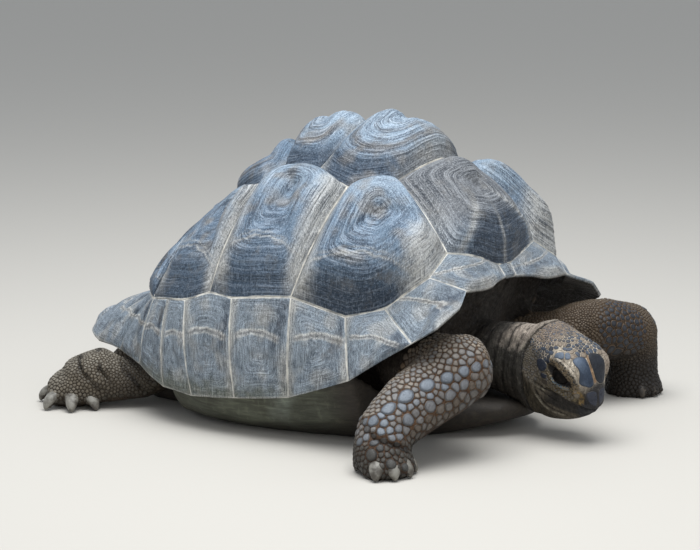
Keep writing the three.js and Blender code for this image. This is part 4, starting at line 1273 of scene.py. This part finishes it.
def scaleSize(body, head, normals):  # half width in mm of the scales at a place, 0 for none
    forward, right, up = body.T
    size = np.zeros(len(body))
    place, side = neckPlace(head), oneSide(head)

    fore = (forward > 268) & (right > legAside)  # right foreleg
    row = [s[0] for s in bigScales[:8]]
    gap, where = nearLine(body, row)
    front = (body - np.array(row[3])) @ np.array((0.55, 0.1, -0.83)) > 0
    here = np.where(front, 7.6 - 3.0 * ramp(gap, 40, 95), 6.3 - 1.9 * ramp(gap, 22, 78))
    here = np.where((forward < 345) & (up < 62), scaleWidth["foot"], here)
    here = np.where(up < 34, scaleWidth["claws"], here)
    here = np.where((where > 0.96) & ~front, scaleWidth["inner"], here)
    size[fore] = here[fore]

    left = (forward > legAhead) & (right < -legAside)  # left foreleg
    knee = np.linalg.norm((body - (492, -276, 146)) * (1, 1, 0.8), axis=1)
    outside = ramp(normals[:, 0], 0.1, 0.55) * ramp(forward, 320, 380) * ramp(up, 30, 70)
    here = np.maximum(7.6 - 4.6 * ramp(knee, 30, 72), 3.2 + 4.4 * outside)
    here = np.where(up < 70, scaleWidth["foot"], here)
    size[left] = here[left]

    hind = (forward < -262) & (np.abs(right) > 95) & (up < 145)
    here = 3.9 - 0.5 * ramp(up, 60, 110) + 3.2 * ramp(-forward, 385, 440) * ramp(-up, -44, -20)
    size[hind] = here[hind]
    tail = (forward < -300) & (np.abs(right) < 60)
    size[tail] = scaleWidth["tail"]

    s, t, past, outward, ray = eyeSpace(head)
    span = np.linalg.norm(ray, axis=1)
    onHead = (place > hoodPlace(head) + 3) & (np.abs(right - headAside) < headHalf) & (forward > 400)
    here = 3.7 - 1.2 * ramp(-side[:, 0], -62, -15) - 0.8 * ramp(-side[:, 2], -4, 14)
    here += 0.8 * ramp(side[:, 2], 18, 30) * ramp(side[:, 0], 30, 60)
    bare = (side[:, 0] > 134) | (side[:, 2] < -34) | (side[:, 2] < np.interp(side[:, 0], *mouthUp) + 3)
    bare |= (outward > 0) & (span < 46) & (t > 0) & (past > 12.5) & (head[:, 0] > 86)
    bare |= (head[:, 0] > 92) & (head[:, 1] > -2) & (head[:, 1] < 12) & (head[:, 2] > 15)
    here = np.where(bare, 0, here)
    socket = (outward > 0) & (span < 42)
    here = np.where((past < 12.5) & socket & (t > 0), scaleWidth["upperLid"], here)
    here = np.where((past < 7) & socket & (t < 0), scaleWidth["lowerLid"], here)
    here = np.where((past < 2.4) & socket, 0, here)
    size[onHead] = here[onHead]
    size[(normals[:, 2] < -0.55) & ~onHead & ~tail] = 0.0
    size[(underShell(body) > 0.75) & (forward > 0)] = 0.0
    return size


def flowAt(body, normals):  # the way the scales lie
    forward, right, up = body.T
    flow = np.tile((0.0, 0.0, -1.0), (len(body), 1))
    flow[(forward > legAhead) & (right > legAside)] = (-0.42, 0.76, -0.42)
    flow[(forward > legAhead) & (right < -legAside)] = (0.25, -0.5, -0.8)
    flow[(forward < -262) & (right > 0)] = (-0.75, 0.5, -0.35)
    flow[(forward < -262) & (right < 0)] = (-0.8, -0.4, -0.3)
    flow[(forward < -300) & (np.abs(right) < 60)] = (-0.9, 0, -0.4)
    out = np.stack([-flow[:, 1], -flow[:, 0], flow[:, 2]], 1)  # body to model axes
    out[(forward > 380) & (np.abs(right - headAside) < headHalf)] = np.array(headAhead)
    out -= normals * (out * normals).sum(1, keepdims=True)
    return unit(out)


def parting(away, want):  # the way out of others that stand nearer than wanted
    gap = np.linalg.norm(away, axis=2) * 1000
    return (away * (np.maximum(want - gap, 0) / np.maximum(gap, 0.05))[:, :, None]).sum(1)


def settleScales(tree, centres, corners, directions, areas):
    chance = np.random.default_rng(scalePlan["seed"])
    size = scaleSize(toBody(centres), toHead(centres), directions)
    weight = np.where(size > 0, areas / np.maximum(size, 1) ** 2, 0)
    count = int((weight * 1e6).sum() / (math.pi * scalePlan["cover"]))
    chosen = chance.choice(len(centres), count, p=weight / weight.sum())
    a, b = chance.random(count), chance.random(count)
    flip = a + b > 1
    a[flip], b[flip] = 1 - a[flip], 1 - b[flip]
    tri = corners[chosen]
    points = tri[:, 0] + a[:, None] * (tri[:, 1] - tri[:, 0]) + b[:, None] * (tri[:, 2] - tri[:, 0])
    radius = size[chosen] * chance.uniform(*scalePlan["vary"], count)

    fixed = np.array([tree.find_nearest(bodySpot(*at))[0][:] for at, half, longer in bigScales])
    fixedRadius = np.array([half for at, half, longer in bigScales])
    rims = [p for tone, loop in shieldOutlines() for p in loop[::2]]
    shields = np.array([tree.find_nearest(headSpot(*p))[0][:] for p in rims])
    stops = np.concatenate([fixed, shields])
    stopRadius = np.concatenate([fixedRadius * 0.9, np.full(len(shields), shieldShape["gap"])])

    def clear(share):  # points away from the fixed scales and plates
        gap = np.linalg.norm(points[:, None] - stops[None], axis=2) * 1000
        return (gap > stopRadius[None] + radius[:, None] * share).all(1) & ~inShields(toHead(points), 1.0)

    keep = clear(0.3)
    points, radius = points[keep], radius[keep]
    for turn in range(scalePlan["rounds"]):
        near = neighbours(points, 8)
        away = points[:, None] - points[near]
        move = parting(away, (radius[:, None] + radius[near]) * scalePlan["spacing"]) * scalePlan["pushOthers"]
        away = points[:, None] - stops[None]
        move += parting(away, radius[:, None] * 0.9 + stopRadius[None]) * scalePlan["pushStops"]
        length = np.linalg.norm(move, axis=1, keepdims=True)
        move *= np.minimum(1, scalePlan["longestMove"] / np.maximum(length, 1e-9))
        points = np.array([tree.find_nearest(Vector(p))[0][:] for p in points + move])
    keep = clear(0.5)
    points = np.concatenate([fixed, points[keep]])
    radius = np.concatenate([fixedRadius, radius[keep]])
    stretch = np.ones(len(points))
    stretch[:len(fixed)] = [longer for at, half, longer in bigScales]
    return points, radius, stretch


def buildScales():
    tree, faceUv, *faces = skinTree()
    points, radius, stretch = settleScales(tree, *faces)
    found = [tree.find_nearest(Vector(p)) for p in points]
    normals = np.array([f[1][:] for f in found])
    rootUv = faceUv[[f[2] for f in found]]
    body, head = toBody(points), toHead(points)
    flow = flowAt(body, normals)
    cross = np.cross(normals, flow)
    sides = scalePlan["sides"]
    angle = np.arange(sides) * 2 * math.pi / sides
    reach = rimReach(points, radius, stretch, normals, flow, cross, angle)
    wild = np.random.default_rng(scalePlan["colourSeed"]).random(len(points))
    leftLeg = (body[:, 0] > legAhead) & (body[:, 1] < -legAside) & (normals[:, 0] < 0.3)
    isHead = headScales(body, head)
    groups = {"forelegs": (body[:, 0] > 260) & ~isHead, "hindlegs": body[:, 0] < -200, "head": isHead}
    look = scaleLook()
    factor, power, added = scalePlan["thick"]
    for name, mask in groups.items():
        ids = mask.nonzero()[0]
        coat = newCoat()
        tints = scaleTint(points[ids], body[ids], head[ids], normals[ids], radius[ids], wild[ids])
        for i, tint, edge in zip(ids, *tints):
            r = radius[i]
            large = r > scalePlan["fine"]
            many, step = (sides, 1) if large else (sides // 2, 2)
            thick = (factor * r ** power + added) * (scalePlan["headThick"] if name == "head" else 1)
            verts, uvs, rims = [], [], []
            for share, height, rim in scaleRings if large else fineRings:
                for k in range(0, sides, step):
                    c, s = math.cos(angle[k]), math.sin(angle[k])
                    at = points[i] + (flow[i] * stretch[i] * c + cross[i] * s) * (reach[i, k] * share / 1000)
                    if r > scalePlan["wrapped"]:
                        at = np.array(tree.find_nearest(Vector(at))[0])
                    slope = 1 + scalePlan["slant"] * c * share
                    verts.append(at + normals[i] * (thick * height * slope / 1000))
                    uvs.append(rootUv[i] + scalePlan["uvReach"] * share * np.array((c, s)))
                    rims.append(min(1, rim * 1.3 + 0.22) if leftLeg[i] else rim)  # only their tops are dark
            verts.append(points[i] + normals[i] * (thick * 1.1 / 1000))
            uvs.append(rootUv[i])
            rims.append(0.0)
            addCap(coat, many, verts, uvs, rims, [tint] * len(verts), edge)
        makePiece("scales_" + name, coat, look)
        print("scales", name, len(ids), "faces", len(coat["faces"]))
    return tree, faceUv


def rimReach(points, radius, stretch, normals, flow, cross, angle):  # mm to the rim at each angle
    near = neighbours(points, 14)
    away = (points[near] - points[:, None]) * 1000
    x = (away * flow[:, None]).sum(2) / stretch[:, None]
    y = (away * cross[:, None]).sum(2)
    gap = np.maximum(np.hypot(x, y), 0.1)
    facing = np.einsum("ijk,ik->ij", normals[near], normals) > 0.1
    limit = gap * (0.5 + (radius[:, None] ** 2 - radius[near] ** 2) / (2 * gap ** 2)) - scalePlan["groove"] / 2
    limit = np.maximum(limit, radius[:, None] * 0.35)
    limit[~facing] = 99
    lean = np.cos(angle[None, :, None] - np.arctan2(y, x)[:, None, :])
    press = (np.maximum(lean, 0) / limit[:, None, :]) ** scalePlan["corner"]
    cap = 1 / (radius * np.where(np.arange(len(radius)) < len(bigScales), 1.1, 1.9))
    return (press.sum(2) + (cap ** scalePlan["corner"])[:, None]) ** (-1 / scalePlan["corner"])


def headScales(body, head):
    return (neckPlace(head) > 5) & (np.abs(body[:, 1] - headAside) < headHalf) & (body[:, 0] > 380)


def newCoat():
    return {key: [] for key in ("verts", "faces", "uvs", "rim", "tint", "edgeTint")}


def addCap(coat, many, verts, uvs, rims, tints, edge):  # rings of points, many in each, and the tip
    first, levels = len(coat["verts"]), len(verts) // many
    for level in range(levels):
        a, b = first + level * many, first + (level + 1) * many
        for k in range(many):
            m = (k + 1) % many
            coat["faces"].append((a + k, a + m, b + m, b + k) if level < levels - 1 else (a + k, a + m, b))
    added = {"verts": verts, "uvs": uvs, "rim": rims, "tint": tints, "edgeTint": [edge] * len(verts)}
    for key, values in added.items():
        coat[key].extend(values)


def makePiece(name, coat, look):
    verts = np.array(coat["verts"])
    verts[:, 2] = np.maximum(verts[:, 2], 0)  # none below the floor
    mesh = bpy.data.meshes.new(name)
    mesh.from_pydata([tuple(v) for v in verts], [], coat["faces"])
    obj = bpy.data.objects.new(name, mesh)
    bpy.context.scene.collection.objects.link(obj)
    layer = mesh.uv_layers.new(name="OFBake")
    index = np.empty(len(mesh.loops), np.int32)
    mesh.loops.foreach_get("vertex_index", index)
    layer.data.foreach_set("uv", np.clip(np.array(coat["uvs"], np.float32)[index], 0.0005, 0.9995).ravel())
    markPoints(obj, "rim", coat["rim"])
    for key in ("tint", "edgeTint"):
        markPoints(obj, key, np.array(coat[key]), "FLOAT_COLOR")
    mesh.materials.append(look)
    smoothShade(obj)
    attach(obj, "root")
    return obj


scaleTones = {
    "grey": rgb(110, 117, 125), "greyDark": rgb(94, 95, 96), "brown": rgb(112, 94, 74),
    "beadLitTop": rgb(156, 144, 128), "foot": rgb(54, 51, 45), "leftBlue": rgb(42, 46, 54),
    "leftBrown": rgb(86, 73, 56), "hind": rgb(92, 84, 71), "hindLitTop": rgb(120, 114, 102),
    "crownDark": rgb(46, 51, 60), "crownBlue": rgb(60, 68, 80), "crownTan": rgb(144, 129, 111),
    "temple": rgb(30, 35, 46), "templeBrown": rgb(52, 46, 40), "browPale": rgb(92, 103, 117),
    "prefront": rgb(42, 54, 71), "prefrontHighlight": rgb(88, 101, 118), "prefrontDark": rgb(30, 34, 42),
    "nose": rgb(44, 48, 60), "cheek": rgb(94, 87, 75), "lid": rgb(122, 106, 81), "darkScaleAndShade": rgb(30, 26, 22),
    "edgeLimb": rgb(170, 146, 110), "edgeDark": rgb(72, 59, 44), "edgeLeft": rgb(100, 80, 58),
    "edgeHead": rgb(206, 196, 176), "edgeFoot": rgb(78, 66, 54), "edgeNose": rgb(96, 90, 84),
    "edgeHind": rgb(74, 64, 50),
}


def scaleTint(points, body, head, normals, radius, wild):
    forward, right, up = body.T
    paint, rimPaint = Paint(scaleTones, "brown", len(body)), Paint(scaleTones, "edgeLimb", len(body))
    lay, layEdge = paint.lay, rimPaint.lay
    cloud = noiseAt(points, 20, 3.0, 2)
    upward = normals[:, 2]

    foreRight = (forward > 260) & (right > legAside)
    # Painted top light: paler where the scales face up.
    lay("beadLitTop", foreRight * ramp(upward, 0.3, 0.8) * 0.8)
    lay("greyDark", foreRight * ramp(radius, 3.6, 5.6) * (0.35 + 0.5 * wild))
    # The big scales' own grey, laid more where they face up: partly a painted highlight on their tops.
    lay("grey", foreRight * ramp(radius, 6, 9.5) * ramp(upward, -0.15, 0.5))
    lay("foot", foreRight * ramp(-up, -72, -50) * 0.9)
    layEdge("edgeDark", foreRight * ramp(-radius, -7.0, -4.6) * 0.6)
    layEdge("edgeFoot", foreRight * ramp(-up, -80, -50) * 0.9)

    # The left foreleg's scales take darker tones than the right's, darker still low down: painted shade on the far
    # leg.
    foreLeft = (forward > legAhead) & (right < -legAside)
    outside = foreLeft * ramp(normals[:, 0], 0.1, 0.55)
    low = foreLeft * ramp(-up, -125, -60)
    lay("leftBrown", foreLeft)
    # Painted top light on the small upward-facing scales.
    lay("beadLitTop", foreLeft * 0.5 * ramp(-radius, -3.4, -2.6) * ramp(upward, 0.1, 0.7))
    lay("leftBlue", foreLeft * ramp(radius, 4.0, 6) * 0.95)
    lay("greyDark", outside * ramp(radius, 4.0, 6) * 0.9)
    lay("darkScaleAndShade", low * (0.95 - 0.5 * outside))
    layEdge("edgeLeft", foreLeft)
    layEdge("edgeDark", foreLeft * ramp(-radius, -4.6, -3.6) * 0.8)
    layEdge("darkScaleAndShade", low * (0.9 - 0.5 * outside))

    hindPart = forward < -200
    lay("hind", hindPart)
    # Painted top light on the hind legs where the scales face up.
    lay("hindLitTop", hindPart * ramp(upward, 0.2, 0.8) * 0.8)
    lay("foot", hindPart * ramp(-up, -40, -15) * 0.8)
    layEdge("edgeHind", hindPart)
    # Painted shade on the hind legs close to the shell.
    lay("darkScaleAndShade", hindPart * ramp(forward, -350, -290) * 0.55)
    # Painted shade in the limbs' creases.
    for line, width, depth, taper in limbStrokes:
        if depth < 0:
            crease = 1 - ramp(nearLine(body, line)[0], 3, 9)
            lay("darkScaleAndShade", crease * 0.8)
            layEdge("darkScaleAndShade", crease * 0.8)

    isHead = headScales(body, head)
    along, height = head[:, 0], head[:, 2]
    lay("crownDark", isHead)
    lay("crownBlue", isHead * ramp(wild + 0.25 * cloud, 0.66, 0.85))
    lay("crownTan", isHead * ramp(-wild + 0.4 * cloud, -0.25, -0.08) * 0.8)
    lay("crownTan", isHead * ramp(-along, -64, -24) * ramp(height, 6, 24) * (0.15 + 0.6 * ramp(-wild, -0.6, -0.4)))
    lay("cheek", isHead * ramp(-height, -14, 6) * (0.95 - 0.35 * (wild > 0.7)))
    small = isHead * (radius < 2.2) * (along > 60) * (np.abs(head[:, 1]) > 20)
    lay("lid", small)
    lay("darkScaleAndShade", small * (wild > 0.52) * 0.9)
    layEdge("edgeHead", isHead)
    layEdge("cheek", isHead * ramp(-height, -8, 10) * 0.7)
    shade = (1 - foreRight * 0.35 * ramp(-upward, -0.1, 0.5))[:, None]
    return paint.colour * (0.84 + 0.32 * wild[:, None]) * shade, rimPaint.colour * shade


def scaleLook():
    look = Nodes("horny scales")
    tint, rim, here = look.attribute("tint", "Color"), look.attribute("rim"), look.place()
    cloud = look.noise(here, 90, 4, 0.65)
    grain = look.noise(here, 520, 3, 0.65)
    dark = look.shade(tint, (0.34, 0.32, 0.32))
    pale = look.mix(0.06, look.shade(tint, (1.7, 1.7, 1.7)), (0.62, 0.62, 0.62))
    ragged = look.math("ADD", rim, look.math("MULTIPLY", cloud, 0.3))
    colour = look.layers(
        tint,
        (cloud, 0.5, 0.7, 0.5, dark), (grain, 0.5, 0.68, 0.4, pale), (grain, 0.44, 0.3, 0.45, dark),
        (rim, 0.22, 0.6, 0.72, dark), (ragged, 0.90, 1.2, 0.9, look.attribute("edgeTint", "Color")))
    look.connect(Base_Color=colour, Roughness=look.range(cloud, 0.3, 0.7, 0.48, 0.7), Specular_IOR_Level=0.35)
    look.connect(Normal=look.bumps((cloud, 0.0012, 0.5), (grain, 0.0007, 0.6)))
    return look.material


skinSurface, skinFaceUv = buildScales()
report("scales")


def shieldTint(tone, points):  # paler towards the brow as a painted highlight, with pale spots and mottling
    along, right, up = toHead(points).T
    cloud = noiseAt(points, 60, 9.0, 2)
    paint = Paint(scaleTones, tone, len(points))
    if tone == "prefront":
        # A painted bluish-white highlight on the top of the snout plate.
        paint.lay("prefrontHighlight", 0.75 * ramp(up, 36, 54) * ramp(right, 8, 30))
        paint.lay("browPale", 0.6 * ramp(right, 20, 30) * ramp(-up, -34, -24) * np.clip(cloud + 0.4, 0, 1))
    return paint.colour * (1 + 0.35 * cloud[:, None])


def buildShields():
    look = scaleLook()
    coat = newCoat()
    many = shieldShape["around"]
    for tone, loop in shieldOutlines():
        mid = loop.mean(0)
        size = np.linalg.norm(loop - mid, axis=1).mean()
        rise = shieldShape["rise"] * min(1.0, size / shieldShape["full"])
        verts, rims, spread = [], [], []
        for share, height, rim in shieldRings:
            for k, p in enumerate(mid + (loop - mid) * share if share else [mid]):
                at, normal, face, gap = skinSurface.find_nearest(headSpot(*p))
                verts.append(np.array(at) + np.array(normal) * rise * height / 1000)
                rims.append(rim)
                angle = 2 * math.pi * k / many
                spread.append(shieldShape["uvReach"] * share * np.array((math.cos(angle), math.sin(angle))))
        uvs = [skinFaceUv[face] + s for s in spread]
        edge = scaleTones["edgeNose" if tone == "nose" else "edgeHead"]
        addCap(coat, many, verts, uvs, rims, shieldTint(tone, np.array(verts)), edge)
    editAll(makePiece("head_shields", coat, look), faceOutward)


buildShields()


# Eyes.

def eyeLook():
    look = Nodes("wet dark eye")
    cloud = look.noise(look.place(), 160, 3)
    colour = look.mix(look.range(cloud, 0.35, 0.7), (0.004, 0.004, 0.004), (0.012, 0.010, 0.009))
    look.connect(Base_Color=colour, Roughness=0.12, Specular_IOR_Level=0.035)
    return look.material


def buildEyes():
    look = eyeLook()
    for side in ("right", "left"):
        node = "eye_" + side
        low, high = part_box(node)
        bpy.ops.mesh.primitive_uv_sphere_add(segments=48, ring_count=32, radius=(high.x - low.x) / 2)
        obj = bpy.context.object
        obj.name = "eyeball_" + side
        setPoints(obj, getPoints(obj) + np.array((low + high) / 2))
        obj.data.materials.append(look)
        smoothShade(obj)
        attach(obj, "root")
        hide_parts(node)


buildEyes()


# Claws.

# Sole's place in the lower leg, heading in degrees, then mm: how far the claws begin, their length and width.
clawPlan = {
    "foreleg_right": {"sole": (0.20, 0.69), "heading": 8, "reach": 45, "length": 14, "width": 29,
                      "angles": (-74, -40, -6, 28, 60)},
    "foreleg_left": {"sole": (0.76, 0.33), "heading": -14, "reach": 44, "length": 13, "width": 25,
                      "angles": (-56, -28, 0, 28, 56)},
    "hindleg_right": {"sole": (0.40, 0.67), "heading": 105, "reach": 48, "length": 23, "width": 28,
                      "angles": (-85, -46, -2, 65)},
    "hindleg_left": {"sole": (0.51, 0.68), "heading": -105, "reach": 44, "length": 23, "width": 28,
                      "angles": (-85, -46, -2, 65)},
}


clawShape = {"height": 27, "thick": 12, "thinning": 5.5, "narrowing": 0.5, "buried": 12}  # mm and shares


def clawLook(name, pale, dark):
    look = Nodes(name)
    here = look.place()
    cloud = look.noise(here, 60, 4, 0.6)
    streak = look.noise(here, 420, 3, 0.6)
    colour = look.mix(look.range(cloud, 0.35, 0.65), tuple(rgb(*pale)), tuple(rgb(*dark)))
    look.connect(Base_Color=colour, Roughness=0.55, Normal=look.bumps((streak, 0.0005, 0.6)))
    return look.material


def buildClaw(name, centre, angle, plan, look):
    out = Vector((-math.sin(angle), -math.cos(angle), 0))
    across = Vector((math.cos(angle), -math.sin(angle), 0))
    reach, length, high = plan["reach"], plan["length"], clawShape["height"]
    path = [(reach - clawShape["buried"], high), (reach + length * 0.8, high), (reach + length + 2, 2)]
    bpy.ops.mesh.primitive_uv_sphere_add(segments=20, ring_count=16, radius=1)
    obj = bpy.context.object
    obj.name = name
    points = []
    for x, y, z in getPoints(obj):
        f = min(max((z + 1) / 2, 0), 1)
        turn = math.atan2(y, x)
        full = min(1, math.hypot(x, y) * 1.12) ** 0.8
        wide = plan["width"] / 2 * (1.0 - clawShape["narrowing"] * f ** 1.9) * full
        lift = (clawShape["thick"] - clawShape["thinning"] * f) * full * math.sin(turn)
        ahead, up = [(1 - f) ** 2 * a + 2 * f * (1 - f) * b + f * f * c for a, b, c in zip(*path)]
        slope = Vector([2 * (1 - f) * (b - a) + 2 * f * (c - b) for a, b, c in zip(*path)]).normalized()
        ahead, up = ahead - slope.y * lift, up + slope.x * lift
        point = centre + (out * ahead + across * wide * math.cos(turn)) / 1000
        points.append((point.x, point.y, max(up, 0) / 1000))
    setPoints(obj, points)
    editAll(obj, faceOutward)
    bpy.ops.object.shade_smooth()
    obj.data.materials.append(look)
    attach(obj, "root")


def buildClaws():
    worn = clawLook("worn claw horn", (130, 127, 119), (70, 65, 58))
    # The left foreleg's claws get darker horn: painted shade.
    dark = clawLook("claw horn in painted shade", (74, 66, 56), (40, 34, 29))
    for leg, plan in clawPlan.items():
        look = dark if leg == "foreleg_left" else worn
        centre = spot(leg + "_lower", *plan["sole"], 0)
        for i, turn in enumerate(plan["angles"]):
            buildClaw(f"claw_{leg}_{i + 1}", centre, math.radians(plan["heading"] + turn), plan, look)


buildClaws()
report("eyes and claws")


# Belly shield.

bellyShape = {"voxel": 0.006, "smoothing": 10, "bridgeRise": 0.016}

bellyTones = {"base": rgb(52, 46, 39), "side": rgb(72, 75, 63), "front": rgb(44, 38, 31), "worn": rgb(136, 146, 138)}


def bellyLook():
    look = Nodes("belly horn")
    tone, here = look.attribute("tint", "Color"), look.place()
    cloud = look.noise(here, 18, 4, 0.6)
    grain = look.noise(here, 200, 3, 0.6)
    streak = look.noise(look.place((1.0, 0.12, 1.0)), 150.0, 4, 0.65)
    worn = look.noise(look.place((1.0, 1.0, 0.2)), 90.0, 3, 0.6)
    dark, pale = look.shade(tone, (0.42, 0.39, 0.34)), look.shade(tone, (1.7, 1.68, 1.6))
    colour = look.layers(tone, (cloud, 0.35, 0.65, 0.6, dark), (streak, 0.5, 0.62, 0.6, dark),
                         (streak, 0.46, 0.36, 0.45, pale), (worn, 0.56, 0.68, 0.4, pale))
    look.connect(Base_Color=colour, Roughness=0.7, Normal=look.bumps((grain, 0.001, 0.5), (streak, 0.0025, 0.7)))
    return look.material


def buildPlastron():
    obj = copyNodes(["plastron"], "belly_shield")
    remesh(obj, bellyShape["voxel"], bellyShape["smoothing"])
    points = getPoints(obj)
    forward, right, up = toBody(points).T
    beside = np.abs(right)
    rim = ramp(beside, 225, 285) * ramp(up, 35, 70)
    points[:, 2] += bellyShape["bridgeRise"] * rim  # the bridge reaches up behind the rim of the shell
    setPoints(obj, points)
    cloud = noiseAt(points, 12, 4.0, 2)
    side = ramp(beside, 200, 290)
    paint = Paint(bellyTones, "base", len(points))
    paint.lay("side", side)
    # Painted shade: darker towards the front.
    paint.lay("front", ramp(forward, 150, 225))
    worn = ramp(forward, 40, 100) * (1 - ramp(forward, 120, 170)) * np.clip(cloud + 0.2, 0, 1)
    paint.lay("worn", side * worn)
    markPoints(obj, "tint", paint.colour * (1 + 0.3 * cloud[:, None]), "FLOAT_COLOR")
    obj.data.materials.append(bellyLook())
    smoothShade(obj)
    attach(obj, "root")
    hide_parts("plastron")


buildPlastron()
report("belly shield")
